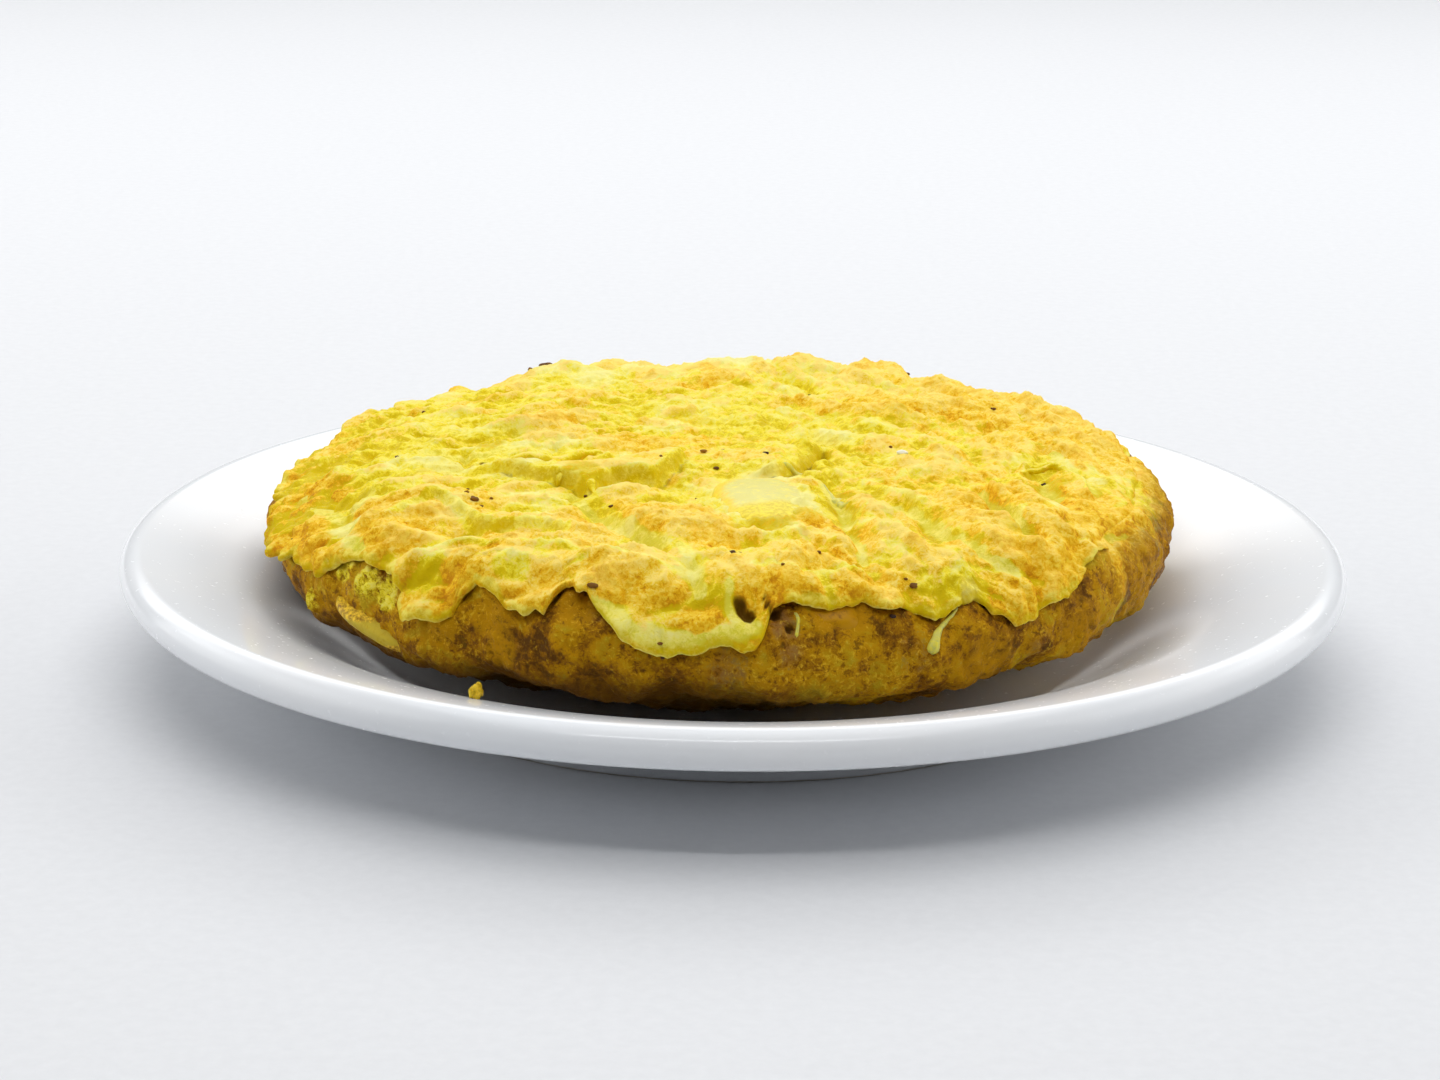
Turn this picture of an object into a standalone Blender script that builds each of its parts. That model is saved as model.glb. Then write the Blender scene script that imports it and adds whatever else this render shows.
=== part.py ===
"""A thick round potato omelette resting on a white dinner plate."""
import math

import bmesh
import bpy
import numpy as np

# Lengths are in millimetres, and MM turns them into metres where a mesh is written.
MM = 0.001
GAP = 0.35

# Plate
PLATE_RADIUS = 135.0
BEAD_RADIUS = 4.2
BEAD_HEIGHT = 24.5
RIM_INNER_RADIUS = 113.5
RIM_INNER_HEIGHT = 23.8
RIM_SLOPE = 0.28
FLOOR_RADIUS = 78.0
FLOOR_HEIGHT = 8.0
WALL_THICKNESS = 4.8
FOOT_RADIUS = 83.0
FOOT_WIDTH = 3.6
FOOT_ROOT_HEIGHT = 4.2
RECESS_HEIGHT = 2.8
PLATE_STEPS = 72

# Omelette, whose centre lies a little to the left of the plate's
OMELETTE_X = -2.3
TOP_HEIGHT = 47.6
TOP_FLAT_RADIUS = 78.0
WIDEST_RADIUS = 101.2
WIDEST_HEIGHT = 31.0
BASE_HEIGHT = FLOOR_HEIGHT + GAP
BASE_FLAT_RADIUS = 58.0
BELLY_ARC_RADIUS = 8.0
BELLY_ARC_DEPTH = 9.5
BELLY_ARC_END = 74.0
OMELETTE_STEPS = 136

# The toasted top skin ends in a lobed lip, measured as a distance over the surface
# from the middle of the top. Angles are in degrees from +X, so the front is at -90.
LIP_DISTANCE = 97.0
LIP_TURN_IN = 1.2
SKIN_SWELL = 16.0
SKIN_THICKNESS = (
    (-180, 2.2), (-150, 2.8), (-90, 2.6), (-52, 2.4), (-38, 0.3),
    (12, 0.3), (45, 1.6), (120, 2.0),
)
# Each lobe: angle, half width in degrees, how far it hangs below the rest of the lip.
FRONT_LOBES = (
    (-165, 7.5, 13.0), (-151, 10.0, 9.5), (-137, 6.0, 4.5), (-126, 5.0, 10.5),
    (-116, 5.5, 5.0), (-111, 2.2, 5.0), (-95, 10.0, 11.0), (-87, 3.0, 9.8),
    (-76, 6.0, 2.6), (-67, 6.5, 4.6), (-55, 5.0, 9.6), (-47, 5.0, 6.2),
)
BACK_LOBE_SPAN = (38.0, 186.0)
BACK_LOBES = 11

# Folds of the top, on the surface rolled out flat about the middle of the top.
# Each fold: its path, its half width, its height (a valley's is negative).
FOLDS = (
    # rolls above the front lip
    (((-66, -67), (-55, -73), (-40, -81), (-26, -85)), 6.0, 1.8),
    (((-10, -80), (-2, -90)), 7.0, 1.2),
    (((10, -84), (24, -86), (38, -80)), 6.0, 1.4),
    (((48, -72), (60, -68), (74, -56)), 7.0, 1.2),
    # terrace at the front left and the smooth valleys beside it
    (((-71, -55), (-57, -45), (-34, -50)), 6.0, 1.4),
    (((-52, -62), (-38, -65), (-25, -73)), 4.0, -1.6),
    (((-30, -43), (-17, -67), (-7, -86), (-4, -97)), 3.5, -1.9),
    (((-80, -48), (-86, -30)), 4.0, -1.0),
    # flap of skin torn and pushed forward, with the hollow before it
    (((-44, -25), (-27, -25), (-10, -15)), 4.5, 2.2),
    (((-38, -37), (-22, -34), (-8, -25)), 3.5, -1.2),
    # mound round the potato that shows on top
    (((9, -60), (9, -32)), 13.0, 1.6),
    (((-9, -50), (-2, -70)), 6.0, 0.8),
    (((24, -24), (26, -57), (29, -84)), 3.0, -1.7),
    # slanting valleys on the right
    (((37, -40), (47, -66), (53, -76)), 3.0, -1.5),
    (((54, -25), (59, -48), (64, -60)), 2.2, -1.5),
    (((68, -13), (69, -28), (74, -48)), 3.5, -1.4),
    (((74, 8), (81, -22)), 3.5, -1.2),
    (((46, -34), (52, -58)), 4.5, 1.0),
    # crack behind the potato and the raised skin to its left
    (((12, 0), (10, -14)), 6.0, 1.2),
    (((20, 2), (18, -8), (15, -23)), 2.5, -1.5),
    # pits at the left
    (((-55, 23),), 4.5, -2.2),
    (((-58, -9), (-53, -9)), 3.5, -1.8),
    (((-39, 0),), 4.0, -1.4),
    # fuller shoulder at the back and the back right, lower one at the left
    (((-44, 72), (-24, 80)), 12.0, 2.4),
    (((-4, 82), (34, 76)), 14.0, 3.4),
    (((18, 82),), 4.0, 1.6),
    (((-13, 84),), 5.0, -1.8),
    (((46, 77),), 6.0, -2.0),
    (((58, 62), (90, 26)), 14.0, 1.9),
    (((100, 8), (100, -4)), 9.0, 1.4),
    (((-90, -30), (-92, 0), (-84, 28)), 13.0, -3.0),
    # drawn-in belly at the left and the right
    (((-112, -28), (-106, -50)), 11.0, -2.6),
    (((100, -62), (114, -14), (114, 14)), 12.0, -2.2),
)
# Uneven swells of the whole surface: size across, height.
SWELLS = ((26.0, 1.5), (11.0, 0.9))

# Potato pieces that show: angle about Z, distance from the omelette's middle, height of
# the piece's centre, half sizes (outwards, sideways, upwards), tilt of its outer side.
POTATOES = {
    "potato_top": (-78.0, 44.5, 45.6, (21.0, 9.6, 4.6), 0.0),
    "potato_left": (-134.5, 93.5, 29.6, (9.4, 11.5, 2.6), 12.0),
    "potato_front": (-77.0, 94.2, 38.6, (6.0, 7.2, 4.6), 34.0),
}
POTATO_ROUNDING = 0.72


def smooth(value):
    """Rise from 0 to 1 with level ends as value goes from 0 to 1."""
    value = np.clip(value, 0.0, 1.0)
    return value * value * (3.0 - 2.0 * value)


# Lattice noise
LATTICE = np.random.default_rng(11)
SHUFFLE = LATTICE.permutation(256)
SLOPES = LATTICE.normal(size=(256, 3))
SLOPES /= np.linalg.norm(SLOPES, axis=1)[:, None]


def lumps(points, size):
    """Smooth noise between about -1 and 1, with lumps about one size across."""
    place = points / size + size
    corner = np.floor(place).astype(int)
    part = place - corner
    ease = part ** 3 * (part * (part * 6.0 - 15.0) + 10.0)
    total = np.zeros(len(points))
    for step in np.ndindex(2, 2, 2):
        cell = (corner + step) & 255
        code = SHUFFLE[(SHUFFLE[(SHUFFLE[cell[:, 0]] + cell[:, 1]) & 255] + cell[:, 2]) & 255]
        weight = np.prod(np.where(step, ease, 1.0 - ease), axis=1)
        total += weight * np.sum(SLOPES[code] * (part - step), axis=1)
    return total * 1.8


# Omelette's plain turned form
def omelette_outline(arc_points=24):
    """Half section from the middle of the top, over the shoulder, to the middle of the base."""
    turn = np.linspace(0.0, math.pi / 2, arc_points)
    shoulder_r = TOP_FLAT_RADIUS + (WIDEST_RADIUS - TOP_FLAT_RADIUS) * np.sin(turn)
    shoulder_z = WIDEST_HEIGHT + (TOP_HEIGHT - WIDEST_HEIGHT) * np.cos(turn)
    turn = np.radians(np.linspace(0.0, BELLY_ARC_END, arc_points)[1:])
    belly_r = WIDEST_RADIUS - BELLY_ARC_RADIUS * (1.0 - np.cos(turn))
    belly_z = WIDEST_HEIGHT - BELLY_ARC_DEPTH * np.sin(turn)
    radius = np.concatenate([[0.0], shoulder_r, belly_r, [BASE_FLAT_RADIUS, 0.0]])
    height = np.concatenate([[TOP_HEIGHT], shoulder_z, belly_z, [BASE_HEIGHT, BASE_HEIGHT]])
    return radius, height


OUTLINE_R, OUTLINE_Z = omelette_outline()
OUTLINE_S = np.concatenate([[0.0], np.cumsum(np.hypot(np.diff(OUTLINE_R), np.diff(OUTLINE_Z)))])
BASE_EDGE_DISTANCE = OUTLINE_S[-2]


def on_outline(distance):
    """Radius, height and outward normal of the half section at a distance along it."""
    radius = np.interp(distance, OUTLINE_S, OUTLINE_R)
    height = np.interp(distance, OUTLINE_S, OUTLINE_Z)
    reach = 1.5
    ahead = np.minimum(distance + reach, OUTLINE_S[-1])
    behind = np.maximum(distance - reach, 0.0)
    run = np.interp(ahead, OUTLINE_S, OUTLINE_R) - np.interp(behind, OUTLINE_S, OUTLINE_R)
    fall = np.interp(behind, OUTLINE_S, OUTLINE_Z) - np.interp(ahead, OUTLINE_S, OUTLINE_Z)
    length = np.hypot(run, fall)
    return radius, height, fall / length, run / length


def all_lobes():
    """The front's lobes as measured, then more of the same kind round the back."""
    draw = np.random.default_rng(5)
    start, end = BACK_LOBE_SPAN
    pitch = (end - start) / BACK_LOBES
    back = [
        (start + pitch * (i + draw.uniform(0.2, 0.8)), draw.uniform(4.0, 8.0), draw.uniform(2.0, 10.0))
        for i in range(BACK_LOBES)
    ]
    return list(FRONT_LOBES) + back


def lip_line(angle):
    """Distance over the surface at which the top skin ends, for angles in degrees."""
    drop = np.zeros_like(angle)
    for centre, half_width, fall in all_lobes():
        apart = (angle - centre + 180.0) % 360.0 - 180.0
        drop = np.maximum(drop, fall / (1.0 + (apart / half_width) ** 4))
    return LIP_DISTANCE + drop


def skin_thickness(angle):
    angles, sizes = zip(*SKIN_THICKNESS)
    return np.interp(angle, angles, sizes, period=360.0)


def distance_to_path(flat, path):
    """Shortest distance from each flat point to a path of straight runs."""
    if len(path) == 1:
        return np.hypot(flat[:, 0] - path[0][0], flat[:, 1] - path[0][1])
    nearest = np.full(len(flat), np.inf)
    for start, end in zip(path, path[1:]):
        start = np.array(start, float)
        run = np.array(end, float) - start
        along = np.clip((flat - start) @ run / (run @ run), 0.0, 1.0)
        nearest = np.minimum(nearest, np.linalg.norm(flat - start - along[:, None] * run, axis=1))
    return nearest


def relief(points, flat):
    """Height of the folds and swells over the plain turned form."""
    height = np.zeros(len(flat))
    for path, half_width, rise in FOLDS:
        height += rise * np.exp(-(distance_to_path(flat, path) / half_width) ** 2)
    for size, rise in SWELLS:
        height += rise * lumps(points, size)
    return height


# Blender helpers
def collection(name):
    made = bpy.data.collections.new(name)
    bpy.context.scene.collection.children.link(made)
    return made


def add_object(name, mesh, home, colour, roughness):
    made = bpy.data.objects.new(name, mesh)
    home.objects.link(made)
    material = bpy.data.materials.new(name)
    material.use_nodes = True
    shader = material.node_tree.nodes["Principled BSDF"]
    shader.inputs["Base Color"].default_value = (*colour, 1.0)
    shader.inputs["Roughness"].default_value = roughness
    shader.inputs["Metallic"].default_value = 0.0
    mesh.materials.append(material)
    return made


def turned_mesh(name, radii, heights, steps, home):
    """Turn a half section about Z with a Screw modifier and keep the result as a mesh."""
    profile = bpy.data.meshes.new(name)
    corners = [(r * MM, 0.0, z * MM) for r, z in zip(radii, heights)]
    profile.from_pydata(corners, [(i, i + 1) for i in range(len(corners) - 1)], [])
    blank = bpy.data.objects.new(name, profile)
    home.objects.link(blank)
    screw = blank.modifiers.new("turn", "SCREW")
    screw.steps = steps
    screw.render_steps = steps
    screw.use_merge_vertices = True
    screw.merge_threshold = 0.00001
    evaluated = blank.evaluated_get(bpy.context.evaluated_depsgraph_get())
    turned = bpy.data.meshes.new_from_object(evaluated)
    bpy.data.objects.remove(blank)
    bpy.data.meshes.remove(profile)
    turned.name = name
    return turned


def shade_round(mesh, angle=40.0):
    mesh.shade_smooth()
    mesh.set_sharp_from_angle(angle=math.radians(angle))


# Plate
def plate_section():
    """Upper face from the middle out, round the beaded rim, and back under to the middle."""
    wall = RIM_INNER_RADIUS - FLOOR_RADIUS
    rise = RIM_INNER_HEIGHT - FLOOR_HEIGHT
    part = np.linspace(0.0, 1.0, 8)
    wall_r = FLOOR_RADIUS + wall * part
    wall_z = FLOOR_HEIGHT + rise * part ** 2 * (3 - 2 * part) - RIM_SLOPE * wall * part ** 2 * (1 - part)
    bead_r = PLATE_RADIUS - BEAD_RADIUS
    turn = np.radians(np.linspace(100.0, -100.0, 11))
    bead = [(bead_r + BEAD_RADIUS * math.cos(a), BEAD_HEIGHT + BEAD_RADIUS * math.sin(a)) for a in turn]
    under = [(r, z - WALL_THICKNESS) for r, z in zip(wall_r[:1:-1], wall_z[:1:-1])]
    foot = [
        (FOOT_RADIUS + 1.2, FOOT_ROOT_HEIGHT),
        (FOOT_RADIUS, 0.0),
        (FOOT_RADIUS - FOOT_WIDTH, 0.0),
        (FOOT_RADIUS - FOOT_WIDTH - 1.0, RECESS_HEIGHT),
        (0.0, RECESS_HEIGHT),
    ]
    points = [(0.0, FLOOR_HEIGHT), *zip(wall_r, wall_z), *bead, *under, *foot]
    return zip(*points)


def build_plate(home, spare):
    radii, heights = plate_section()
    mesh = turned_mesh("plate", radii, heights, PLATE_STEPS, spare)
    shade_round(mesh, 35.0)
    return add_object("plate", mesh, home, (0.80, 0.81, 0.83), 0.12)


# Omelette
def ring_distances():
    """Where the rings of the turned blank lie: top and lip, then side and base."""
    top = [0.0, 8.0, 16.0, 24.0, 31.0, 38.0, 45.0, 52.0, 59.0, 66.0, 73.0, 79.0, 85.0, 90.0, 94.0]
    top += [LIP_DISTANCE]
    side = list(LIP_DISTANCE + LIP_TURN_IN + np.linspace(0.0, 1.0, 10) * (
        BASE_EDGE_DISTANCE - LIP_DISTANCE - LIP_TURN_IN))
    return np.array(top), np.array(side + [OUTLINE_S[-1]])


def shaped_omelette(mesh, blank_radii, blank_heights):
    """Move the turned blank's points: lip to its lobes, then out or in by the relief."""
    top, side = ring_distances()
    rings = np.concatenate([top, side])
    count = len(mesh.vertices)
    points = np.empty(count * 3)
    mesh.vertices.foreach_get("co", points)
    points = points.reshape(count, 3) / MM
    radius = np.hypot(points[:, 0], points[:, 1])
    apart = np.hypot(radius[:, None] - blank_radii, points[:, 2][:, None] - blank_heights)
    ring = apart.argmin(axis=1)
    angle = np.degrees(np.arctan2(points[:, 1], points[:, 0]))
    distance = rings[ring]
    shift = lip_line(angle) - LIP_DISTANCE
    free_top = 60.0
    rising = smooth((distance - free_top) / (LIP_DISTANCE - free_top))
    falling = 1.0 - smooth((distance - LIP_DISTANCE) / (BASE_EDGE_DISTANCE - LIP_DISTANCE))
    on_top = ring < len(top)
    distance = distance + shift * np.where(on_top, rising, falling)
    radius, height, out, up = on_outline(distance)
    across = np.stack([np.cos(np.radians(angle)), np.sin(np.radians(angle))], axis=1)
    flat = across * distance[:, None]
    plain = np.column_stack([across * radius[:, None], height])
    edge = smooth(1.0 - (lip_line(angle) - distance) / SKIN_SWELL)
    lift = relief(plain, flat) + np.where(on_top, skin_thickness(angle) * edge, 0.0)
    resting = smooth((distance - BASE_EDGE_DISTANCE + 14.0) / 14.0)
    lift *= 1.0 - resting
    plain[:, :2] += across * (lift * out)[:, None]
    plain[:, 2] = np.maximum(plain[:, 2] + lift * up, BASE_HEIGHT)
    plain[:, 0] += OMELETTE_X
    mesh.vertices.foreach_set("co", (plain * MM).ravel())
    mesh.update()


def build_omelette(home, spare):
    top, side = ring_distances()
    blank_skin = 2.0
    offset = np.where(np.arange(len(top) + len(side)) < len(top), blank_skin, 0.0)
    offset[0] = 0.0
    radius, height, out, up = on_outline(np.concatenate([top, side]))
    radii = radius + offset * out
    heights = height + offset * up
    mesh = turned_mesh("omelette", radii, heights, OMELETTE_STEPS, spare)
    shaped_omelette(mesh, radii, heights)
    shade_round(mesh, 60.0)
    return add_object("omelette", mesh, home, (0.78, 0.52, 0.08), 0.6)


# Potato
def potato_mesh(name, half_sizes, place, grow):
    """A soft-cornered slice: a sphere squared off, tilted and set into the omelette."""
    angle, reach, height, tilt = place
    form = bmesh.new()
    bmesh.ops.create_uvsphere(form, u_segments=20, v_segments=10, radius=1.0)
    points = np.array([vertex.co for vertex in form.verts])
    squared = np.sign(points) * np.abs(points) ** POTATO_ROUNDING
    bulge = 1.0 + 0.07 * lumps(points + reach, 0.9)[:, None]
    local = squared * bulge * (np.array(half_sizes) + grow)
    lean = math.radians(tilt)
    tipped = np.column_stack([
        local[:, 0] * math.cos(lean) + local[:, 2] * math.sin(lean) + reach,
        local[:, 1],
        local[:, 2] * math.cos(lean) - local[:, 0] * math.sin(lean) + height,
    ])
    turn = math.radians(angle)
    for vertex, (outward, aside, up) in zip(form.verts, tipped):
        vertex.co = (
            (outward * math.cos(turn) - aside * math.sin(turn) + OMELETTE_X) * MM,
            (outward * math.sin(turn) + aside * math.cos(turn)) * MM,
            up * MM,
        )
    mesh = bpy.data.meshes.new(name)
    form.to_mesh(mesh)
    form.free()
    mesh.shade_smooth()
    return mesh


def build_potatoes(home, cutters, omelette):
    """Each potato sits in a pocket cut from the omelette, with a small gap all round."""
    for name, (angle, reach, height, half_sizes, tilt) in POTATOES.items():
        place = (angle, reach, height, tilt)
        add_object(name, potato_mesh(name, half_sizes, place, 0.0), home, (0.82, 0.68, 0.30), 0.5)
        pocket = add_object(
            name + "_pocket", potato_mesh(name + "_pocket", half_sizes, place, GAP),
            cutters, (0.5, 0.5, 0.5), 0.5)
        pocket.hide_render = True
        pocket.display_type = "WIRE"
        cut = omelette.modifiers.new(name, "BOOLEAN")
        cut.operation = "DIFFERENCE"
        cut.solver = "EXACT"
        cut.object = pocket


def main():
    for old in list(bpy.data.objects):
        bpy.data.objects.remove(old)
    parts = collection("spanish_omelette")
    cutters = collection("cutters")
    build_plate(parts, cutters)
    omelette = build_omelette(parts, cutters)
    build_potatoes(parts, cutters, omelette)


main()
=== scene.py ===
"""Looks of a thick potato omelette on a white dinner plate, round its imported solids."""
import math

import bmesh
import bpy
import numpy as np
from bpy.props import FloatProperty, FloatVectorProperty, IntProperty, PointerProperty
from bpy.types import Operator, Panel, PropertyGroup
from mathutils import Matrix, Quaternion, Vector


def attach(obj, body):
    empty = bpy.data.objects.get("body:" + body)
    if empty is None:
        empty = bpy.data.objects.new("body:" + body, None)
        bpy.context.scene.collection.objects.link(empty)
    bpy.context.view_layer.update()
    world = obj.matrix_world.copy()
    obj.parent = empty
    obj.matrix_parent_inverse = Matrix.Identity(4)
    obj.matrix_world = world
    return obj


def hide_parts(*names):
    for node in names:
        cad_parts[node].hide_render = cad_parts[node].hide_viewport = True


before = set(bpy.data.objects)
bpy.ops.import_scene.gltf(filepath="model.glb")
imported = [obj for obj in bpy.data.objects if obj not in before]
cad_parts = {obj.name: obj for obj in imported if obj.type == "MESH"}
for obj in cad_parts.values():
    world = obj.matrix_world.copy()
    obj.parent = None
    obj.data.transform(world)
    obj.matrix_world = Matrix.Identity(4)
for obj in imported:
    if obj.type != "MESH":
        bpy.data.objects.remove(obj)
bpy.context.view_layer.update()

bl_info = {
    "name": "Potato omelette on a plate",
    "version": (1, 0, 0),
    "blender": (4, 5, 0),
    "location": "View3D > Sidebar > Omelette",
    "description": "Builds the skin, crust, potato, small bits and plate of a potato omelette",
    "category": "Add Mesh",
}

# Lengths are in millimetres, and MM turns them into metres where a mesh is written.
MM = 0.001
BODY = "root"
FINE = 1.0

# Plate
PLATE_RADIUS = 135.0
BEAD_RADIUS = 4.2
BEAD_HEIGHT = 24.5
RIM_INNER_RADIUS = 113.5
RIM_INNER_HEIGHT = 23.8
RIM_SLOPE = 0.28
FLOOR_RADIUS = 78.0
FLOOR_HEIGHT = 8.0
WALL_THICKNESS = 4.8
FOOT_RADIUS = 83.0
FOOT_WIDTH = 3.6
FOOT_ROOT_HEIGHT = 4.2
RECESS_HEIGHT = 2.8

# Omelette, whose centre lies a little to the left of the plate's
OMELETTE_X = -2.3
TOP_HEIGHT = 47.6
TOP_FLAT_RADIUS = 78.0
WIDEST_RADIUS = 101.2
WIDEST_HEIGHT = 31.0
BASE_HEIGHT = FLOOR_HEIGHT + 0.05
BASE_FLAT_RADIUS = 58.0
BELLY_ARC_RADIUS = 8.0
BELLY_ARC_DEPTH = 9.5
BELLY_ARC_END = 74.0
# The surface comes to rest on the plate over this distance before the base's edge.
RESTING_SPAN = 14.0

# The toasted top skin ends in a lobed lip, measured as a distance over the surface
# from the middle of the top. Angles are in degrees from +X, so the front is at -90.
LIP_DISTANCE = 97.0
SKIN_SWELL = 16.0
# Inside this distance the skin's points don't follow the lip.
SKIN_STILL_RADIUS = 60.0
# Angle in degrees, thickness of the skin at its lip.
SKIN_THICKNESS = (
    (-180, 2.2), (-150, 2.0), (-90, 1.8), (-52, 1.7), (-38, 0.3),
    (12, 0.3), (45, 1.6), (120, 2.0),
)
# Each lobe: angle, half width in degrees, how far it hangs below the rest of the lip.
FRONT_LOBES = (
    (-165, 7.5, 13.0), (-151, 10.0, 9.5), (-137, 6.0, 4.5), (-126, 5.0, 10.5),
    (-116, 5.5, 5.0), (-111, 2.2, 5.0), (-95, 10.0, 11.0), (-87, 3.0, 9.8),
    (-76, 6.0, 2.6), (-67, 6.5, 4.6), (-55, 5.0, 9.6), (-47, 5.0, 6.2),
)
# The front lip's tongues and notches more finely: angle, distance of the edge.
LIP_EDGE = (
    (-172, 109), (-170, 111.5), (-167.5, 108), (-165.5, 110), (-162, 106), (-160, 107.5), (-157, 105),
    (-154.5, 106), (-153, 103.5), (-151.5, 105), (-147, 104.5), (-145, 105), (-143, 102), (-141, 100),
    (-137.5, 98.5), (-135, 99), (-132, 99.5), (-130, 102), (-129, 105), (-128.3, 107), (-126.5, 106),
    (-123.5, 105.5), (-122.3, 104), (-121.7, 101), (-120, 97.5), (-118, 98), (-115.5, 100.5), (-113.5, 101),
    (-112.4, 102), (-111.2, 100.5), (-110, 101.5), (-109.3, 98), (-108.8, 95), (-107.6, 95), (-106.6, 97.5),
    (-105.6, 96.5), (-104, 99.5), (-102, 102.5), (-100.5, 105), (-99, 106), (-96, 107), (-93, 106.5),
    (-90.5, 105), (-89, 105), (-87.5, 106), (-86, 105), (-85, 102.5), (-84.2, 98), (-83, 96.5),
    (-79, 97.5), (-75.5, 97.5), (-73, 96.5), (-71.8, 98.5), (-70.8, 100), (-68.5, 99), (-66.5, 100),
    (-65, 102), (-63, 101), (-61, 99.5), (-59, 99), (-57.6, 102.5), (-56, 103.5), (-54.3, 105.5),
    (-51.8, 105.5), (-50, 104), (-47.5, 103), (-45, 103), (-43, 101.5), (-41, 99.5), (-39, 98),
)
BACK_LOBE_SPAN = (38.0, 186.0)
BACK_LOBES = 11
# Rows that close the skin behind its lip: how far back, how deep under the crust.
LIP_BACK_ROWS = ((1.5, 0.8), (4.0, 3.2), (9.0, 7.0))
LIP_MARK_WIDTH = 1.6
# The crust starts this far under the lip.
CRUST_OVERLAP = 8.0
# Heights of the hidden points that close the skin and the crust inside.
SKIN_TIP_HEIGHT = 28.0
CRUST_TIP_HEIGHT = 25.0
# The crust is painted darker low down, as painted shade near the plate, most at the front: distance and x
# where that starts.
LOW_FROM = 106.0
LOW_FADE = 12.0
LOW_RIGHT_END = 60.0
LOW_RIGHT_FADE = 50.0
LOW_SHADE = 0.80

# Folds of the top, on the surface rolled out flat about the middle of the top.
# Each fold: its path, its half width, its height (a valley's is negative).
FOLDS = (
    # rolls above the front lip
    (((-66, -67), (-55, -73), (-40, -81), (-26, -85)), 6.0, 1.8),
    (((-10, -80), (-2, -90)), 7.0, 1.2),
    (((10, -84), (24, -86), (38, -80)), 6.0, 1.4),
    (((48, -72), (60, -68), (74, -56)), 7.0, 1.2),
    # terrace at the front left and the smooth valleys beside it
    (((-71, -55), (-57, -45), (-34, -50)), 6.0, 1.4),
    (((-52, -62), (-38, -65), (-25, -73)), 4.0, -1.6),
    (((-30, -43), (-17, -67), (-7, -86), (-4, -97)), 3.5, -1.9),
    (((-80, -48), (-86, -30)), 4.0, -1.0),
    # flap of skin torn and pushed forward, with the hollow before it
    (((-44, -25), (-27, -25), (-10, -15)), 4.5, 2.2),
    (((-38, -37), (-22, -34), (-8, -25)), 3.5, -1.2),
    # mound round the potato that shows on top
    (((9, -60), (9, -32)), 13.0, 1.6),
    (((-9, -50), (-2, -70)), 6.0, 0.8),
    (((24, -24), (26, -57), (29, -84)), 3.0, -1.7),
    # slanting valleys on the right
    (((37, -40), (47, -66), (53, -76)), 3.0, -1.5),
    (((54, -25), (59, -48), (64, -60)), 2.2, -1.5),
    (((68, -13), (69, -28), (74, -48)), 3.5, -1.4),
    (((74, 8), (81, -22)), 3.5, -1.2),
    (((46, -34), (52, -58)), 4.5, 1.0),
    # crack behind the potato and the raised skin to its left
    (((12, 0), (10, -14)), 6.0, 1.2),
    (((20, 2), (18, -8), (15, -23)), 2.5, -1.5),
    # pits at the left
    (((-55, 23),), 4.5, -2.2),
    (((-58, -9), (-53, -9)), 3.5, -1.8),
    (((-39, 0),), 4.0, -1.4),
    # fuller shoulder at the back and the back right, lower one at the left
    (((-44, 72), (-24, 80)), 12.0, 2.4),
    (((-4, 82), (34, 76)), 14.0, 3.4),
    (((18, 82),), 4.0, 1.6),
    (((-13, 84),), 5.0, -1.8),
    (((46, 77),), 6.0, -2.0),
    (((58, 62), (90, 26)), 14.0, 1.9),
    (((100, 8), (100, -4)), 9.0, 1.4),
    (((-90, -30), (-92, 0), (-84, 28)), 13.0, -3.0),
    # drawn-in belly at the left and the right
    (((-112, -28), (-106, -50)), 11.0, -2.6),
    (((100, -62), (114, -14), (114, 14)), 12.0, -2.2),
)
# Uneven swells of the whole surface: height, size across.
SWELLS = ((1.5, 26.0), (0.9, 11.0))
# How uneven some edges and forms are, in the same form.
LIP_RAGGEDNESS = ((0.45, 3.4), (0.30, 1.3))
VALLEY_EDGE = ((0.35, 4.0), (0.25, 1.8))
PATCH_EDGE = ((0.22, 7.0), (0.16, 3.0))
TOASTING = ((0.26, 19.0), (0.30, 8.0), (0.30, 3.6))
ROLL_UNEVENNESS = ((0.28, 3.4), (0.16, 1.5))
# The relief's heading turns from the left's to the right's where x falls from here.
TURN_FROM = 24.0
TURN_SPAN = 46.0
# Relief drawn out along a heading, which differs between the left and the right of the
# top. For each side: size across, heading in degrees, how much longer than wide.
DRAWN_RELIEF = {
    "puffs": ((13.0, 10.0, 1.9), (12.0, -60.0, 1.8)),
    "streaks": ((6.0, 8.0, 2.6), (5.4, -62.0, 2.2)),
    "wrinkles": ((2.7, 12.0, 2.6), (2.5, -58.0, 2.2)),
    "veins": ((9.0, 14.0, 2.6), (9.0, -55.0, 2.6)),
}

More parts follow.
